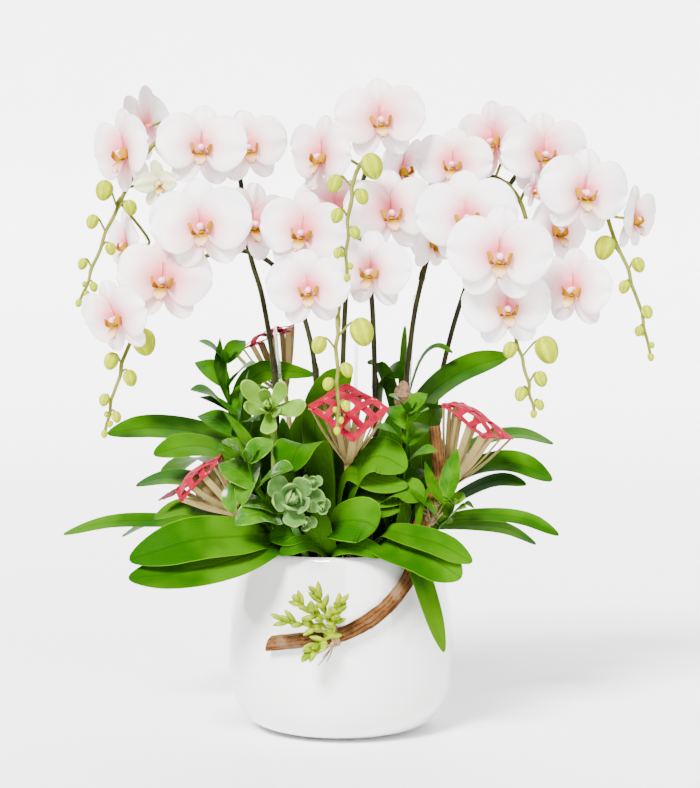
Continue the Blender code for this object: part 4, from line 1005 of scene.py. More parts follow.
class OBJECT_OT_orchid_pot(bpy.types.Operator):
    """The glazed pot: a disc for its base, extruded up its outside, over the rim and down inside"""

    bl_idname = "orchid.pot"
    bl_label = "Glazed Pot"
    bl_options = {"REGISTER", "UNDO"}

    def execute(self, context):
        outside, lip, inside = ([Vector((*point, 0)) for point in reversed(points)]
                                for points in (POT_OUTSIDE, POT_RIM, POT_INSIDE))
        profile = smooth_way(outside, 6) + smooth_way([outside[-1], *lip], 4)[1:]
        profile += smooth_way([lip[-1], *inside], 5)[1:]
        bpy.ops.mesh.primitive_circle_add(vertices=context.scene.orchid_sizes.pot_sides, radius=profile[0].x,
                                          fill_type="NGON", location=(0, 0, profile[0].y))
        pot = added("glazed_pot")
        bpy.ops.object.mode_set(mode="EDIT")
        bpy.ops.mesh.select_all(action="SELECT")
        for before, after in zip(profile, profile[1:]):
            bpy.ops.mesh.extrude_region_move(
                TRANSFORM_OT_translate={"value": (0, 0, after.y - before.y)})
            scale = after.x / before.x
            bpy.ops.transform.resize(value=(scale, scale, 1), center_override=(0, 0, after.y))
        bpy.ops.object.mode_set(mode="OBJECT")
        settled(painted(welded(pot), finished("pot glaze", glaze_finish)), "pot_glaze", "pot")
        return {"FINISHED"}


def facing_frame(place, turn, nod, lean):
    """A flower's own frame: x to its right, y up, z the way that it faces."""
    return (Matrix.Translation(place) @ Matrix.Rotation(math.radians(turn), 4, "Z")
            @ Matrix.Rotation(math.radians(90 + nod), 4, "X") @ Matrix.Rotation(math.radians(lean), 4, "Z"))


def tilted(flat, lift, heading, tilt):
    """Closes a tepal forward by its tilt, about the flower's middle, along its own heading."""
    along = Vector((math.cos(math.radians(heading)), math.sin(math.radians(heading))))
    out = flat.dot(along)
    sideways = flat - along * out
    slope = math.radians(tilt)
    near = along * (out * math.cos(slope) - lift * math.sin(slope)) + sideways
    return Vector((near.x, near.y, lift * math.cos(slope) + out * math.sin(slope)))


def fullness(tilt):
    """How wide a tepal is, of 1: those that are closing are still narrow."""
    return 1 - max(0, tilt - CLOSING_FROM) / CLOSING_RANGE


def petal_shape(size, side, tilt, wave, phase):
    """The broad petal of one side, in flower widths: from its claw out to its round rim."""
    full = fullness(tilt)

    def shape(u, v):
        out = 1 - (1 - u) ** 1.7
        arch = math.sin(math.pi * (0.055 + 0.935 * out))
        low, high = 0.020 - 0.270 * full * arch ** 0.62, 0.050 + 0.314 * full * arch ** 0.44
        flat = Vector((0.018 + 0.482 * out, low + (high - low) * (v + 1) / 2))
        lift = 0.012 + 0.034 * math.sin(math.pi * out) - 0.020 * out + wave * 0.020 * out * v
        lift += 0.016 * (1 - v * v) * math.sin(math.pi * out) - 0.005 * math.exp(-(v / 0.10) ** 2) * (1 - out)
        lift += 0.0110 * math.sin(5.0 * v + 4.0 * out + phase) * out * out
        flat.x *= side
        return tilted(flat, lift, 0 if side > 0 else 180, tilt) * size

    return shape


def sepal_half(out):
    """Half width of a sepal, of 1: widest past its middle, with a round tip."""
    if out < 0.56:
        return 0.30 + 0.70 * math.sin(math.pi / 2 * out / 0.56)
    return math.sqrt(max(0.0, 1 - ((out - 0.56) / 0.44) ** 2)) ** 0.92


def sepal_shape(size, heading, length, width, tilt, phase):
    """A sepal, in flower widths, behind the petals."""
    full = fullness(tilt)
    angle = math.radians(heading)
    along = Vector((math.cos(angle), math.sin(angle)))
    across = Vector((along.y, -along.x))

    def shape(u, v):
        out = 1 - (1 - u) ** 1.5
        half = width / 2 * full * sepal_half(out)
        flat = along * (0.030 + (length - 0.030) * out) - across * (half * v)
        lift = -0.008 - 0.034 * out + 0.018 * (1 - v * v) * math.sin(math.pi * out)
        lift += 0.004 * math.sin(4.0 * v + 3.0 * out + phase) * out
        return tilted(flat, lift, heading, tilt * 0.8) * size

    return shape


def lobe_shape(size, side):
    """One upright side lobe of the lip, curled in towards the column."""
    def shape(u, v):
        spread = 0.024 + 0.084 * math.sin(math.pi * (0.12 + 0.66 * u)) + 0.014 * v
        rise = -0.062 + 0.076 * u + 0.048 * v * math.sin(math.pi * (0.12 + 0.68 * u))
        depth = 0.020 + 0.110 * u - 0.024 * v * u
        return Vector((side * spread, rise, depth)) * size

    return shape


def tongue_shape(size):
    """The lip's middle lobe: forward and down, an arrowhead folded along its middle."""
    def shape(u, v):
        half = 0.020 + 0.074 * math.sin(math.pi * u ** 1.25) * (1 - 0.45 * u)
        drop = -0.068 - 0.115 * u ** 1.3
        reach = 0.030 + 0.120 * math.sin(1.7 * u) + 0.34 * abs(v) * half
        return Vector((half * v, drop, reach)) * size

    return shape


def bloom_piece(number, place, width, turn, nod, lean, tilt):
    """A whole flower: two petals, three sepals, the lobes and tendrils of the lip, and the column."""
    sizes = bpy.context.scene.orchid_sizes
    if number == HALF_OPEN:
        petal = finished("opening petal", tepal_finish, (0.60, 0.66, 0.33), 0.12)
    else:
        petal = finished("petal", tepal_finish, "petal", 1.0)
    lip = finished("lip lobe", lip_finish, (0.40, 0.17, 0.010), 0.5)
    tongue = finished("tongue", lip_finish, (0.74, 0.46, 0.28), 0.9)
    draw = random.Random(100 + number)
    name, size, faces = f"flower_{number:02d}", width * MM, sizes.petal_across
    sheets = []
    for side in (1, -1):
        own_tilt, wave = tilt + draw.uniform(-3, 5), draw.uniform(-1, 1)
        shape = petal_shape(size, side, own_tilt, wave, draw.uniform(0, 6))
        sheets.append(sheet("petal", (faces, faces + 2), shape, petal))
    for heading, length, wide in SEPALS:
        own_heading, own_tilt = heading + draw.uniform(-2, 2), tilt + draw.uniform(-5, 2)
        shape = sepal_shape(size, own_heading, length, wide, own_tilt, draw.uniform(0, 6))
        sheets.append(sheet("sepal", (faces // 2 + 1, faces - 4), shape, petal))
    sheets += [sheet("lobe", (6, 8), lobe_shape(size, side), lip) for side in (1, -1)]
    sheets.append(sheet("tongue", (8, 10), tongue_shape(size), tongue))
    whole = welded(joined(name, sheets), 2e-6)
    pieces = [applied(whole, "SOLIDIFY", thickness=sizes.petal_thick, offset=0)]
    tip = Vector((0, -0.181, 0.146))
    for side in (1, -1):
        curl = [tip] + [tip + Vector((x * side, y, z)) for x, y, z in TENDRIL]
        way = smooth_way(scaled(curl, size), 3)
        radii = [0.0065 * size * (1 - 0.75 * k / (len(way) - 1)) for k in range(len(way))]
        pieces.append(rod("tendril", way, radii, lip, 4))
    hub = scaled([(0, 0, z) for z in (-BOSS_BACK, -0.040, -0.020, 0.0, 0.012)], size)
    pieces.append(rod("hub", hub, [r * size for r in (0.015, 0.018, 0.026, 0.036, 0.034)], petal, 10))
    way = smooth_way(scaled(COLUMN, size), 2)
    radii = [r * size for r in (0.034, 0.034, 0.033, 0.032, 0.033, 0.035, 0.034, 0.027, 0.012)]
    pieces.append(rod("column", way, radii, finished("column", column_finish), 10))
    pieces.append(ball("callus", Vector((0, -0.056, 0.060)) * size,
                       (0.034 * size, 0.020 * size, 0.034 * size), (10, 6), lip))
    whole = joined(name, pieces)
    far = whole.data.attributes.new("far", "FLOAT", "POINT")
    for vert in whole.data.vertices:
        far.data[vert.index].value = math.hypot(vert.co.x, vert.co.y - 0.02 * size) / size
    whole.data.transform(facing_frame(place, turn, nod, lean))
    return whole


class OBJECT_OT_orchid_blooms(bpy.types.Operator):
    """The open flowers, each from grid primitives bent to its tepals and lip"""

    bl_idname = "orchid.blooms"
    bl_label = "Blooms"
    bl_options = {"REGISTER", "UNDO"}

    def execute(self, context):
        for number, (_, x, z, y, *rest) in enumerate(BLOOMS, 1):
            settled(bloom_piece(number, seen(x, z, y), *rest), "petal_white", f"bloom_{number:02d}")
        return {"FINISHED"}


def nearest_on(way, place, rise=0.0):
    """The way's point that a stalk to this place leaves from: a little above the nearest one."""
    return min(way, key=lambda spot: (spot + Vector((0, 0, rise)) - place).length)


def bud_shape(place):
    """Three shallow furrows and a blunt tip on a ball whose Z is the bud's length."""
    furrow = 1 - 0.07 * math.cos(3 * math.atan2(place.y, place.x)) ** 8
    swell = 1 - 0.12 * place.z
    return Vector((place.x * swell * furrow, place.y * swell * furrow, place.z))


def spike_piece(name, number, foot, points, buds):
    """A stem with its knots and bracts, the flower stalks and the buds of its tail."""
    stem = finished("spike", spike_finish)
    bud = finished("bud", bud_finish)
    knots = foot_points(foot) + [seen(*point) for point in points]
    way = smooth_way(knots, 8)
    thick, thin = SPIKE_RADIUS
    last = len(way) - 1
    for *place, length in buds:
        centre = seen(*place)
        near = min(range(last), key=lambda index: (way[index] - centre).length)
        pull = (centre - way[near]).normalized() * BUD_PULL
        for index in range(max(0, near - 5), min(last, near + 6)):
            way[index] = way[index] + pull * math.exp(-((index - near) / 2.0) ** 2)
    radii = []
    for index in range(len(way)):
        share = index / last
        knot = math.exp(-((index % KNOT_EVERY - KNOT_EVERY // 2) / 1.1) ** 2)
        radii.append((thick + (thin - thick) * share ** 1.5) * (0.90 + 0.22 * share + 0.16 * knot))
    pieces = [rod(name, way, radii, stem, 10)]
    for index in range(25, last - 20, KNOT_EVERY):
        along = (way[index + 1] - way[index - 1]).normalized()
        side = along.orthogonal().normalized() * (1 if index % 2 else -1)
        bract = [way[index] - along * 0.003, way[index] + along * 0.004 + side * radii[index] * 0.7,
                 way[index] + along * 0.010 + side * radii[index] * 1.1]
        pieces.append(rod("bract", bract, [radii[index] * 1.25, radii[index] * 0.9, 0.0004], stem, 8,
                          index / last, index / last))
    fine = [start.lerp(stop, step / 12) for start, stop in zip(knots[2:], knots[3:]) for step in range(12)]
    for owner, x, z, y, width, turn, nod, lean, tilt in BLOOMS:
        if owner != number:
            continue
        flower = facing_frame(seen(x, z, y), turn, nod, lean)
        facing = flower.to_3x3() @ Vector((0, 0, 1))
        back = flower.translation - facing * (BOSS_BACK * width * MM + GAP)
        root = nearest_on(fine, back - facing * 0.012)
        reach = min(0.018, (back - root).length * 0.5)
        stalk = smooth_way([root, back - facing * reach, back + facing * 0.001], 5)
        pieces.append(rod("stalk", stalk, STALK_RADIUS, stem, 8, 0.62, 0.80))
    for *place, length in buds:
        centre, size = seen(*place), length * MM
        root = nearest_on(fine, centre, rise=0.002)
        hang = ((centre - root).normalized() * 0.35 + Vector((0, 0, -1))).normalized()
        top = centre - hang * (size * 0.42)
        stalk = smooth_way([root, root.lerp(top, 0.60) + Vector((0, 0, 0.0035)), top], 4)
        pieces.append(rod("bud_stalk", stalk, BUD_STALK_RADIUS, stem, 6, 0.85, 1.0))
        half = (size * 0.42, size * 0.40, size * 0.5)
        pieces.append(ball("bud", centre, half, (24, 14), bud, hang, bud_shape))
    for back, aside, size in TAIL_BUDS:
        hang = (way[-back] - way[-back - 1]).normalized()
        centre = way[-back] + Vector((aside, 0, 0))
        half = (size * 0.40, size * 0.40, size * 0.5)
        pieces.append(ball("bud", centre, half, (16, 10), bud, hang, bud_shape))
    return joined(name + "_stems", pieces)


class OBJECT_OT_orchid_spikes(bpy.types.Operator):
    """The arching flower stems with their stalks and buds"""

    bl_idname = "orchid.spikes"
    bl_label = "Flower Spikes"
    bl_options = {"REGISTER", "UNDO"}

    def execute(self, context):
        for number, (name, spec) in enumerate(SPIKES.items(), 1):
            settled(spike_piece(name, number, *spec), "spike_green", name)
        return {"FINISHED"}


def leaf_frame(way, lean):
    """A function of u that gives the leaf's middle line, its across and its upward direction."""
    line = smooth_way(way, 8)
    for _ in range(6):
        between = [(before + 2 * spot + after) / 4 for before, spot, after in zip(line, line[1:], line[2:])]
        line = [line[0], *between, line[-1]]
    run = way[-1] - way[0]
    level = Vector((run.y, -run.x, 0)).normalized()
    last = len(line) - 1

    def at(u):
        place = u * last
        index = min(int(place), last - 1)
        spot = line[index].lerp(line[index + 1], place - index)
        along = (line[min(last, index + 3)] - line[max(0, index - 2)]).normalized()
        across = (level - along * level.dot(along)).normalized()
        across = Matrix.Rotation(math.radians(lean), 3, along) @ across
        return spot, across, across.cross(along)

    return at


def strap_half(u):
    """Half width of a strap leaf, of 1: narrow at its foot, widest past the middle, round tip."""
    half = 0.10 + 0.90 * math.sin(math.pi * (0.02 + 0.80 * u ** 1.15))
    return half * math.sqrt(max(0.0, 1 - max(0, (u - 0.80) / 0.20) ** 2.2))


def leaflet_half(u):
    """Half width of a pointed leaflet, of 1."""
    return 0.10 * (1 - u) + 0.95 * math.sin(math.pi * (0.04 + 0.96 * u) ** 0.9) ** 0.9


def spoon_half(u):
    """Half width of a succulent's spoon leaf, of 1: widest near its tip, with a small point."""
    if u < 0.66:
        return 0.40 + 0.60 * math.sin(math.pi / 2 * u / 0.66) ** 1.6
    return max(0.0, 1 - ((u - 0.66) / 0.34) ** 2.0) ** 0.62


def blade(name, faces, at, half, width, thick, channel, draw, finish):
    """A leaf as a closed section along its frame, folded along its middle and a little waved.

    The grid's x runs once round the section, from the left edge under the blade and back over it.
    """
    phase = draw.uniform(0, 6)
    wave = draw.uniform(0.02, 0.05)

    def shape(u, x):
        v, rise = math.cos(math.pi * x), math.sin(math.pi * x)
        along = 1 - (1 - u) ** 1.35
        spot, across, up = at(along)
        wide = half(along) * width / 2
        deep = thick / 2 * (0.35 + 0.65 * math.sqrt(max(0.0, 1 - v * v))) * min(1.0, wide / thick)
        lift = channel * wide * (abs(v) ** 1.4 - 0.5) + wave * wide * math.sin(8 * along + 2 * v + phase) * v
        return spot + across * (wide * v) + up * (lift + deep * rise)

    return welded(sheet(name, faces, shape, finish))


def plant_piece(name, foot, crown, leaves, inner_leaves):
    """An orchid plant's short stem and its strap leaves."""
    sizes = bpy.context.scene.orchid_sizes
    thick, along = sizes.leaf_thick, sizes.leaf_along
    leaf = finished("leaf", leaf_finish)
    draw = random.Random(name)
    stem = [Vector((*foot, height)) for height in (HOLE_FLOOR, crown - 0.010, crown + 0.002)]
    pieces = [rod(name, stem, [STEM_RADIUS, STEM_RADIUS, STEM_RADIUS * 0.6], leaf, 12)]
    rows = [(way, width, lean, (len(leaves) - number) * LEAF_PITCH, (24, along))
            for number, (way, width, lean) in enumerate(leaves)]
    rows += [(*row, INNER_DROP, (20, along // 2)) for row in inner_leaves]
    for way, width, lean, drop, faces in rows:
        at = leaf_frame([Vector((*foot, crown - drop))] + [seen(*point) for point in way], lean)
        pieces.append(blade("leaf", faces, at, strap_half, width * MM, thick, 0.16, draw, leaf))
    return joined(name + "_blades", pieces)


class OBJECT_OT_orchid_leaves(bpy.types.Operator):
    """The thick strap leaves of the orchid plants"""

    bl_idname = "orchid.leaves"
    bl_label = "Orchid Leaves"
    bl_options = {"REGISTER", "UNDO"}

    def execute(self, context):
        for name, spec in PLANTS.items():
            settled(plant_piece(name, *spec), "leaf_green", name)
        return {"FINISHED"}


def rosette_leaf(frame, heading, rise, reach, base):
    """The frame of one rosette leaf, which curves up towards its tip."""
    level = Vector((math.cos(heading), math.sin(heading), 0))
    across = Vector((-math.sin(heading), math.cos(heading), 0))
    turn = frame.to_3x3()

    def at(u):
        slope = rise - 0.25 + 0.50 * u
        along = level * math.cos(slope) + Vector((0, 0, math.sin(slope)))
        up = Vector((0, 0, math.cos(slope))) - level * math.sin(slope)
        spot = frame @ (along * (reach * u) + Vector((0, 0, base)))
        return spot, turn @ -across, turn @ up

    return at


def rosette_leaves(frame, length, width, counts, rises, draw, finish):
    """Spoon leaves set by the golden angle, flat outside and steep in the heart."""
    low, high = rises
    leaves = []
    for index in range(sum(counts)):
        share = min(1.25, index / (counts[0] - 1))
        rise = math.radians(min(84, low + (high - low) * share ** 1.3 + draw.uniform(-3, 3)))
        reach = length * MM * (1.06 - 0.50 * share)
        wide = width * MM * (1.06 - 0.42 * share)
        at = rosette_leaf(frame, index * GOLDEN_ANGLE, rise, reach, -0.004 + 0.006 * share)
        thick = min(ROSETTE_THICK, wide / 4)
        leaves.append(blade("leaf", (16, 14), at, spoon_half, wide, thick, 0.26, draw, finish))
    return leaves


def rosette_piece(name, foot, crown, headings, length, width, counts, rises, colours, sides):
    """A succulent on its short stem, with its small side rosettes if it has any."""
    finish = finished(name + " leaf", succulent_finish, *colours)
    turn, nod = headings
    centre = seen(*crown)
    frame = facing_frame(centre, turn, nod, 0)
    facing = frame.to_3x3() @ Vector((0, 0, 1))
    draw = random.Random(name)
    stem = foot_points(foot) + [centre - facing * 0.030 + Vector((0, 0, -0.012)), centre + facing * 0.004]
    pieces = [rod(name, smooth_way(stem, 4), ROSETTE_STEM, finish, 8)]
    pieces += rosette_leaves(frame, length, width, counts, rises, draw, finish)
    for place, side_turn, side in sides:
        frame = facing_frame(seen(*place), side_turn, nod, side_turn)
        pieces += rosette_leaves(frame, side, side * 0.8, (6, 3), (14, 70), draw, finish)
    return joined(name + "_rosette", pieces)


class OBJECT_OT_orchid_rosettes(bpy.types.Operator):
    """The two rosette succulents: the pale ghost plant and the blue green echeveria"""

    bl_idname = "orchid.rosettes"
    bl_label = "Succulents"
    bl_options = {"REGISTER", "UNDO"}

    def execute(self, context):
        for name, spec in ROSETTES.items():
            settled(rosette_piece(name, *spec), "succulent_green", name)
        return {"FINISHED"}


def sprig_piece(name, foot, points, length, width, pairs, kind, leaflets):
    """A leafy stem with crossed pairs of leaves, a small whorl at its top, and its single leaflets."""
    leaf = finished(name + " leaf", thin_leaf_finish, *THIN_LEAVES[kind])
    stem_finish = finished("sprig stem", thin_leaf_finish, *THIN_LEAVES["dark"])
    fine = smooth_way([seen(*point) for point in points], 8)
    stem = foot_points(foot) + fine
    thick, thin = SPRIG_RADIUS
    radii = [thick - (thick - thin) * k / len(stem) for k in range(len(stem))]
    pieces = [rod(name, stem, radii, stem_finish, 8)]
    draw = random.Random(name)
    for pair in range(pairs):
        share = pair / (pairs - 1)
        spot = fine[round(share * (len(fine) - 1))]
        size = length * MM * (0.70 + 0.45 * math.sin(math.pi * (0.2 + 0.7 * share)))
        for side in (0, 1):
            angle = math.radians(45 + pair * 90 + side * 180 + draw.uniform(-14, 14))
            out = Vector((math.cos(angle), math.sin(angle), 0.25 + 0.5 * share))
            tip = spot + out.normalized() * size
            middle = spot.lerp(tip, 0.5) + Vector((0, 0, size * 0.14))
            at = leaf_frame([spot, middle, tip - Vector((0, 0, size * 0.03))], SPRIG_LEAN * math.cos(angle))
            pieces.append(blade("leaf", (16, 16), at, leaflet_half, width * size / length, THIN, 0.16,
                                random.Random(pair * 2 + side), leaf))
    top = fine[-1]
    for side in range(3):
        angle = side * 2.1 + 0.4
        tip = top + Vector((math.cos(angle), math.sin(angle), 1.3)).normalized() * length * MM * 0.40
        at = leaf_frame([top, top.lerp(tip, 0.5) + Vector((0, 0, 0.001)), tip], 0)
        pieces.append(blade("leaf", (12, 10), at, leaflet_half, width * MM * 0.36, 0.0008, 0.2,
                            random.Random(side), leaf))
    for way, wide, lean, own_kind in leaflets:
        single = finished(f"{own_kind} leaflet", thin_leaf_finish, *THIN_LEAVES[own_kind])
        at = leaf_frame([seen(*point) for point in way], lean)
        pieces.append(blade("leaflet", (18, 20), at, leaflet_half, wide * MM, 0.0010, 0.18,
                            random.Random(wide), single))
    return joined(name + "_leaves", pieces)


class OBJECT_OT_orchid_sprigs(bpy.types.Operator):
    """The leafy companion sprigs, each with its own kind of leaf"""

    bl_idname = "orchid.sprigs"
    bl_label = "Leafy Sprigs"
    bl_options = {"REGISTER", "UNDO"}

    def execute(self, context):
        for name, spec in SPRIGS.items():
            settled(sprig_piece(name, *spec), "leaf_green", name)
        return {"FINISHED"}


def strip(name, way, width, facing, finish):
    """A flat strip along a way, its broad side turned to facing, as a sheet to be thickened."""
    last = len(way) - 1

    def shape(u, v):
        index = min(int(u * last), last - 1)
        spot = way[index].lerp(way[index + 1], u * last - index)
        along = (way[index + 1] - way[index]).normalized()
        return spot + along.cross(facing).normalized() * (v * width / 2)

    return sheet(name, (3, max(3, last)), shape, finish)


def pick_piece(name, foot, waist, corners):
    """A bamboo pick: a stalk, the strips that fan out from it and the painted head woven on them."""
    wood = finished("split bamboo", bamboo_finish)
    paint = finished("worn paint", paint_finish)
    neck = seen(*waist)
    corner = [seen(*point) for point in corners]
    middle = sum(corner, Vector()) / 4
    facing = (corner[1] - corner[3]).cross(corner[2] - corner[0]).normalized()
    if facing.dot(middle - neck) < 0:
        facing = -facing

    def on_head(across, up, lift=0.0):
        low, high = corner[0].lerp(corner[1], across), corner[3].lerp(corner[2], across)
        dome = (1 - (2 * across - 1) ** 2) * (1 - (2 * up - 1) ** 2)
        return low.lerp(high, up) + facing * (0.008 * dome) + facing * lift

    start = neck.lerp(middle, 0.04)
    strips = []
    for order, (across, up) in enumerate(FAN):
        end = on_head(across, up)
        out = end - middle
        way = smooth_way([start + out * 0.05, start.lerp(end, 0.5) + out * 0.10, end - facing * 0.0008], 4)
        broad = out.cross(neck - middle).cross(end - neck).normalized()
        strips.append(strip("fan", way, 0.0068 if order % 3 else 0.0078, broad, wood))
    gaps = WEAVE_LINES - 1
    for turn in (0, 1):
        for line in range(WEAVE_LINES):
            share = 0.03 + 0.94 * line / gaps
            way = []
            for step in range(WEAVE_STEPS + 1):
                run = step / WEAVE_STEPS
                across, up = (share, run) if turn else (run, share)
                way.append(on_head(across, up, WEAVE_LIFT * math.cos(math.pi * (run * gaps + line + turn))))
            strips.append(strip("weave", way, WEAVE_WIDTH, facing, paint))
    whole = applied(joined(name, strips), "SOLIDIFY", thickness=STRIP_THICK, offset=0)
    stalk = smooth_way(foot_points(foot) + [neck, neck.lerp(middle, 0.14)], 4)
    return joined(name + "_strips", [whole, rod("stalk", stalk, PICK_RADIUS, wood, 10)])


class OBJECT_OT_orchid_picks(bpy.types.Operator):
    """The bamboo picks with their woven, painted heads"""

    bl_idname = "orchid.picks"
    bl_label = "Bamboo Picks"
    bl_options = {"REGISTER", "UNDO"}

    def execute(self, context):
        for name, spec in PICKS.items():
            settled(pick_piece(name, *spec), "bamboo", name)
        return {"FINISHED"}


class OBJECT_OT_orchid_stakes(bpy.types.Operator):
    """The clear plastic stakes that hold the flower stems"""

    bl_idname = "orchid.stakes"
    bl_label = "Stakes"
    bl_options = {"REGISTER", "UNDO"}

    def execute(self, context):
        clear = finished("clear plastic", stake_finish)
        for name, (foot, top) in STAKES.items():
            way = smooth_way(foot_points(foot) + [seen(*top)], 6)
            settled(rod(name + "_rod", way, STAKE_RADIUS, clear, 12), "stake_plastic", name)
        return {"FINISHED"}


def branch_way(steps):
    return smooth_way([seen(*point) for point in BRANCH_ABOVE]
                      + [on_pot(x, z, BRANCH_RADIUS, BRANCH_CLEAR) for x, z in BRANCH_ON_POT], steps)


class OBJECT_OT_orchid_branch(bpy.types.Operator):
    """The vine branch: a knobbly stem along its way, with its cut end"""

    bl_idname = "orchid.branch"
    bl_label = "Vine Branch"
    bl_options = {"REGISTER", "UNDO"}

    def execute(self, context):
        way = branch_way(12)
        radii = []
        for index in range(len(way)):
            knob = 0.025 * math.sin(index * 0.21) + 0.015 * math.sin(index * 0.53)
            radii.append(BRANCH_RADIUS * (0.74 + 0.26 * min(1, index / 48)) * (0.95 + knob))
        bark = roughened(rod("bark", way, radii, finished("vine bark", bark_finish), 20), 0.0005, 160.0)
        end, run = way[-1], way[-1] - way[-2]
        cut = ball("cut", end, (radii[-1] * 0.86, radii[-1] * 0.86, 0.0010), (20, 8),
                   finished("cut wood", heartwood_finish), run)
        whole = joined("vine_branch_bark", [bark, cut])
        axis = run.normalized()
        for vert in whole.data.vertices:
            past = 1 + (vert.co - end).dot(axis) / CUT_REACH
            if past > 0 and (vert.co - end).length < 2 * CUT_REACH:
                vert.co -= axis * ((vert.co.z - end.z) * CUT_SLANT * min(1.0, past) ** 2)
        settled(whole, "bark", "vine_branch")
        return {"FINISHED"}


def pointed(place):
    """A ball's point moved so that its top end runs to a point."""
    narrow = 1 - 0.55 * max(0.0, place.z) ** 1.5
    return Vector((place.x * narrow, place.y * narrow, place.z))


class OBJECT_OT_orchid_stonecrop(bpy.types.Operator):
    """The stonecrop sprig tied to the branch: fat little leaves along its arms"""

    bl_idname = "orchid.stonecrop"
    bl_label = "Stonecrop"
    bl_options = {"REGISTER", "UNDO"}

    def execute(self, context):
        green = finished("stonecrop leaf", stonecrop_finish)
        base = on_pot(*STONECROP_FOOT, 2 * BRANCH_RADIUS + STONECROP_LIFT)
        root = base + Vector((-0.004, 0, 0))
        draw = random.Random(4)
        pieces = [ball("knot", root, (0.009, 0.0030, 0.0030), (14, 8), green)]
        for arm, (across, up, depth) in enumerate(STONECROP_ARMS):
            tip = base + Vector((across, depth, up)) * MM
            way = smooth_way([root, root.lerp(tip, 0.5) + Vector((0, -0.002, 0.002)), tip], 4)
            pieces.append(rod("arm", way, 0.0015, green, 6))
            axis = (tip - root).normalized()
            side = axis.orthogonal().normalized()
            for index in range(STONECROP_LEAVES):
                share = 0.24 + 0.76 * index / (STONECROP_LEAVES - 1)
                out = Matrix.Rotation(index * GOLDEN_ANGLE + arm, 3, axis) @ side
                out = out * (1.05 - 0.5 * share) + axis * (0.5 + 0.6 * share) + Vector((0, -0.3, 0))
                out.normalize()
                wide, thick, long = STONECROP_LEAF
                long *= draw.uniform(0.85, 1.15)
                centre = way[round(share * (len(way) - 1))] + out * long * 0.95
                pieces.append(ball("leaf", centre, (wide, thick, long), (10, 9), green, out, pointed))
        settled(joined("stonecrop_leaves", pieces), "succulent_green", "stonecrop_sprig")
        return {"FINISHED"}


class OBJECT_OT_orchid_bark_mix(bpy.types.Operator):
    """The bark mix: a matted mound under the rim with loose chips on it"""

    bl_idname = "orchid.bark_mix"
    bl_label = "Bark Mix"
    bl_options = {"REGISTER", "UNDO"}

    def execute(self, context):
        bpy.ops.mesh.primitive_uv_sphere_add(segments=96, ring_count=40, radius=1)
        mound = context.object
        for vert in mound.data.vertices:
            flat = math.hypot(vert.co.x, vert.co.y)
            rough = SOIL_ROUGH * noise.noise(vert.co * 14.0)
            above = vert.co.z >= 0
            height = SOIL_TOP + 0.002 * abs(vert.co.z) + rough if above else SOIL_UNDERSIDE
            reach = SOIL_RADIUS if above else SOIL_LOWER_RADIUS
            if abs(vert.co.z) < 0.02:
                height = SOIL_TOP - 0.008
            vert.co = (vert.co.x * reach, vert.co.y * reach, height - 0.003 * flat)
        painted(mound, finished("matted moss", moss_finish))
        bpy.ops.mesh.primitive_cube_add(size=1)
        model = context.object
        applied(model, "BEVEL", width=0.12, segments=1)
        applied(model, "TRIANGULATE")
        painted(model, finished("bark chip", chip_finish))
        draw = random.Random(9)
        chips = []
        for _ in range(context.scene.orchid_sizes.chips):
            angle = draw.uniform(0, 2 * math.pi)
            far = CHIPS_REACH * math.sqrt(draw.random())
            size = [draw.uniform(*span) for span in CHIP_SPANS]
            chip = bpy.data.objects.new("chip", model.data.copy())
            context.collection.objects.link(chip)
            turn = Matrix.Rotation(draw.uniform(0, 6.28), 4, "Z")
            turn = turn @ Matrix.Rotation(draw.uniform(-0.5, 0.5), 4, "X")
            height = SOIL_TOP + draw.uniform(-0.001, 0.002)
            spot = Vector((far * math.cos(angle), far * math.sin(angle), height))
            chip.data.transform(Matrix.Translation(spot) @ turn @ Matrix.Diagonal((*size, 1)))
            for vert in chip.data.vertices:
                vert.co += Vector([draw.uniform(-CHIP_BEND, CHIP_BEND) for _ in range(3)])
            chips.append(chip)
        bpy.data.objects.remove(model)
        settled(joined("bark_mix_top", [mound, *chips]), "bark_mix", "bark_mix")
        return {"FINISHED"}


def wound(name, centre, facing, radius, thick, turns, finish, draw):
    """A tie wound a few times round a stem."""
    side = facing.orthogonal().normalized()
    up = facing.cross(side)
    way = []
    steps = 20 * turns
    for step in range(steps + 1):
        angle = 2 * math.pi * step / 20
        reach = radius + draw.uniform(0, 0.0003)
        way.append(centre + (side * math.cos(angle) + up * math.sin(angle)) * reach
                   + facing * ((step / steps - 0.5) * thick * 2 * turns))
    return rod(name, way, thick, finish, 6)


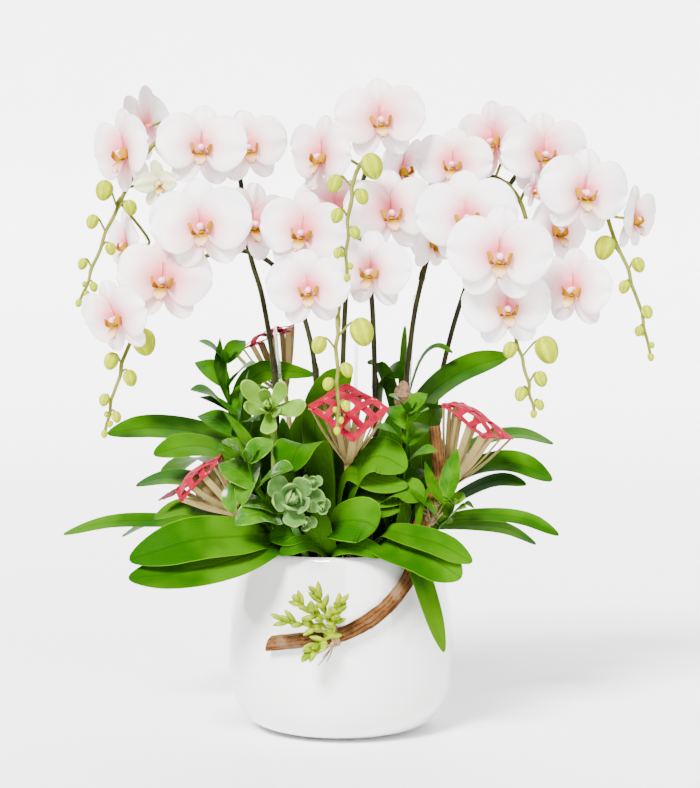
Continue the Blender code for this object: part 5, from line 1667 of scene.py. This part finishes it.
class OBJECT_OT_orchid_trimmings(bpy.types.Operator):
    """Small things among the plants: the raffia tie, a fibre tuft, a wad of cork and a red bract"""

    bl_idname = "orchid.trimmings"
    bl_label = "Trimmings"
    bl_options = {"REGISTER", "UNDO"}

    def execute(self, context):
        raffia = finished("raffia", fibre_finish, (0.13, 0.080, 0.026), (0.27, 0.19, 0.080))
        cork = finished("cork", fibre_finish, (0.080, 0.036, 0.013), (0.180, 0.098, 0.042))
        red = finished("red bract", fibre_finish, (0.10, 0.016, 0.022), (0.30, 0.07, 0.075))
        draw = random.Random(12)
        way = branch_way(12)
        near = min(range(1, len(way)), key=lambda index: (way[index] - on_pot(*TIE_AT, BRANCH_RADIUS)).length)
        facing = (way[near] - way[near - 1]).normalized()
        tie = [wound("tie", way[near], facing, BRANCH_RADIUS * 1.10 + 0.0008, 0.0010, 4, raffia, draw)]
        start = way[near] + Vector((0, -BRANCH_RADIUS - 0.002, -0.002))
        for drift, drop in TIE_TAILS:
            tail = smooth_way([start, start + Vector((drift * 0.4, -0.003, drop * 0.5)),
                               start + Vector((drift, 0.001, drop))], 5)
            radii = [0.0009 - 0.0005 * k / len(tail) for k in range(len(tail))]
            tie.append(rod("tail", tail, radii, raffia, 6))
        settled(joined("raffia_tie", tie), "bamboo")
        tuft = []
        root = seen(*TUFT_AT)
        for _ in range(FIBRES):
            out = Vector([draw.uniform(*span) for span in FIBRE_SPANS])
            middle = root + out * 0.5 + Vector((draw.uniform(-0.004, 0.004), 0, 0.003))
            strand = smooth_way([root + out * 0.05, middle, root + out], 3)
            tuft.append(rod("fibre", strand, FIBRE_RADIUS, raffia, 6))
        settled(joined("fibre_tuft", tuft), "bamboo")
        place = seen(*WAD_AT)
        wad = roughened(ball("wad", place, WAD_HALF, (32, 22), cork), 0.0022, 150.0)
        upright = Vector((0, 0, 1))
        cord = wound("cord", place + upright * 0.003, upright, 0.0092, 0.0006, 3, raffia, draw)
        settled(joined("cork_wad", [wad, cord]), "bark")
        at = leaf_frame([seen(*point) for point in BRACT_WAY], 20)
        bract = blade("dark_red_bract", (16, 20), at, leaflet_half, BRACT_WIDTH, THIN, 0.3, draw, red)
        settled(roughened(bract, 0.0012, 260.0), "leaf_green")
        return {"FINISHED"}


class OBJECT_OT_orchid_stage(bpy.types.Operator):
    """Pale floor, soft lights and the camera at the photograph's angle"""

    bl_idname = "orchid.stage"
    bl_label = "Stage and Lights"
    bl_options = {"REGISTER", "UNDO"}

    def execute(self, context):
        bpy.ops.mesh.primitive_plane_add(size=FLOOR_SIZE, location=(0, -2.4, -0.0005))
        floor = added("floor")
        bpy.ops.object.mode_set(mode="EDIT")
        bpy.ops.mesh.select_all(action="DESELECT")
        bpy.ops.object.mode_set(mode="OBJECT")
        for edge in floor.data.edges:
            edge.select = min(floor.data.vertices[index].co.y for index in edge.vertices) > 0
        bpy.ops.object.mode_set(mode="EDIT")
        turns = [math.radians(90 * step / SWEEP_STEPS) for step in range(SWEEP_STEPS + 1)]
        for before, turn in zip(turns, turns[1:]):
            back, up = math.sin(turn) - math.sin(before), math.cos(before) - math.cos(turn)
            bpy.ops.mesh.extrude_region_move(
                TRANSFORM_OT_translate={"value": (0, SWEEP * back, SWEEP * up)})
        bpy.ops.mesh.extrude_region_move(TRANSFORM_OT_translate={"value": (0, 0, BACKDROP_HEIGHT)})
        bpy.ops.object.mode_set(mode="OBJECT")
        bpy.ops.object.transform_apply(location=True)
        bpy.ops.object.shade_smooth()
        painted(floor, finished("floor", floor_finish))
        world = bpy.data.worlds.new("soft room")
        world.use_nodes = True
        world.node_tree.nodes["Background"].inputs["Color"].default_value = (1, 1, 1, 1)
        world.node_tree.nodes["Background"].inputs["Strength"].default_value = ROOM_LIGHT
        context.scene.world = world
        for name, (place, power, spread) in LAMPS.items():
            bpy.ops.object.light_add(type="SUN", location=place)
            lamp = added(name)
            lamp.data.energy = power
            lamp.data.angle = math.radians(spread)
            lamp.rotation_euler = (-Vector(place)).to_track_quat("-Z", "Y").to_euler()
        bpy.ops.object.camera_add(location=EYE, rotation=(math.radians(90 + EYE_PITCH), 0, 0))
        camera = added("photo_camera")
        camera.data.lens = LENS
        camera.data.sensor_width = 36
        camera.data.sensor_height = 36
        camera.data.sensor_fit = "VERTICAL"
        context.scene.camera = camera
        return {"FINISHED"}


OPERATORS = (
    OBJECT_OT_orchid_pot, OBJECT_OT_orchid_bark_mix, OBJECT_OT_orchid_blooms, OBJECT_OT_orchid_spikes,
    OBJECT_OT_orchid_leaves, OBJECT_OT_orchid_rosettes, OBJECT_OT_orchid_sprigs, OBJECT_OT_orchid_picks,
    OBJECT_OT_orchid_stakes, OBJECT_OT_orchid_branch, OBJECT_OT_orchid_stonecrop,
    OBJECT_OT_orchid_trimmings, OBJECT_OT_orchid_stage,
)


class VIEW3D_PT_orchid(bpy.types.Panel):
    """Steps that build the arrangement, and its colours and sizes"""

    bl_label = "Potted Moth Orchid"
    bl_space_type = "VIEW_3D"
    bl_region_type = "UI"
    bl_category = "Orchid"

    def draw(self, context):
        layout = self.layout
        for step in OPERATORS:
            layout.operator(step.bl_idname)
        for settings in (context.scene.orchid_colours, context.scene.orchid_sizes):
            box = layout.box()
            for key in settings.__annotations__:
                box.prop(settings, key)


CLASSES = (OrchidColours, OrchidSizes, *OPERATORS, VIEW3D_PT_orchid)


def register():
    for kind in CLASSES:
        bpy.utils.register_class(kind)
    bpy.types.Scene.orchid_colours = bpy.props.PointerProperty(type=OrchidColours)
    bpy.types.Scene.orchid_sizes = bpy.props.PointerProperty(type=OrchidSizes)


def unregister():
    del bpy.types.Scene.orchid_colours
    del bpy.types.Scene.orchid_sizes
    for kind in reversed(CLASSES):
        bpy.utils.unregister_class(kind)


def main():
    register()
    bpy.ops.object.select_all(action="DESELECT")
    bpy.ops.orchid.pot()
    bpy.ops.orchid.bark_mix()
    bpy.ops.orchid.blooms()
    bpy.ops.orchid.spikes()
    bpy.ops.orchid.leaves()
    bpy.ops.orchid.rosettes()
    bpy.ops.orchid.sprigs()
    bpy.ops.orchid.picks()
    bpy.ops.orchid.stakes()
    bpy.ops.orchid.branch()
    bpy.ops.orchid.stonecrop()
    bpy.ops.orchid.trimmings()
    bpy.ops.orchid.stage()


if __name__ == "__main__":
    main()
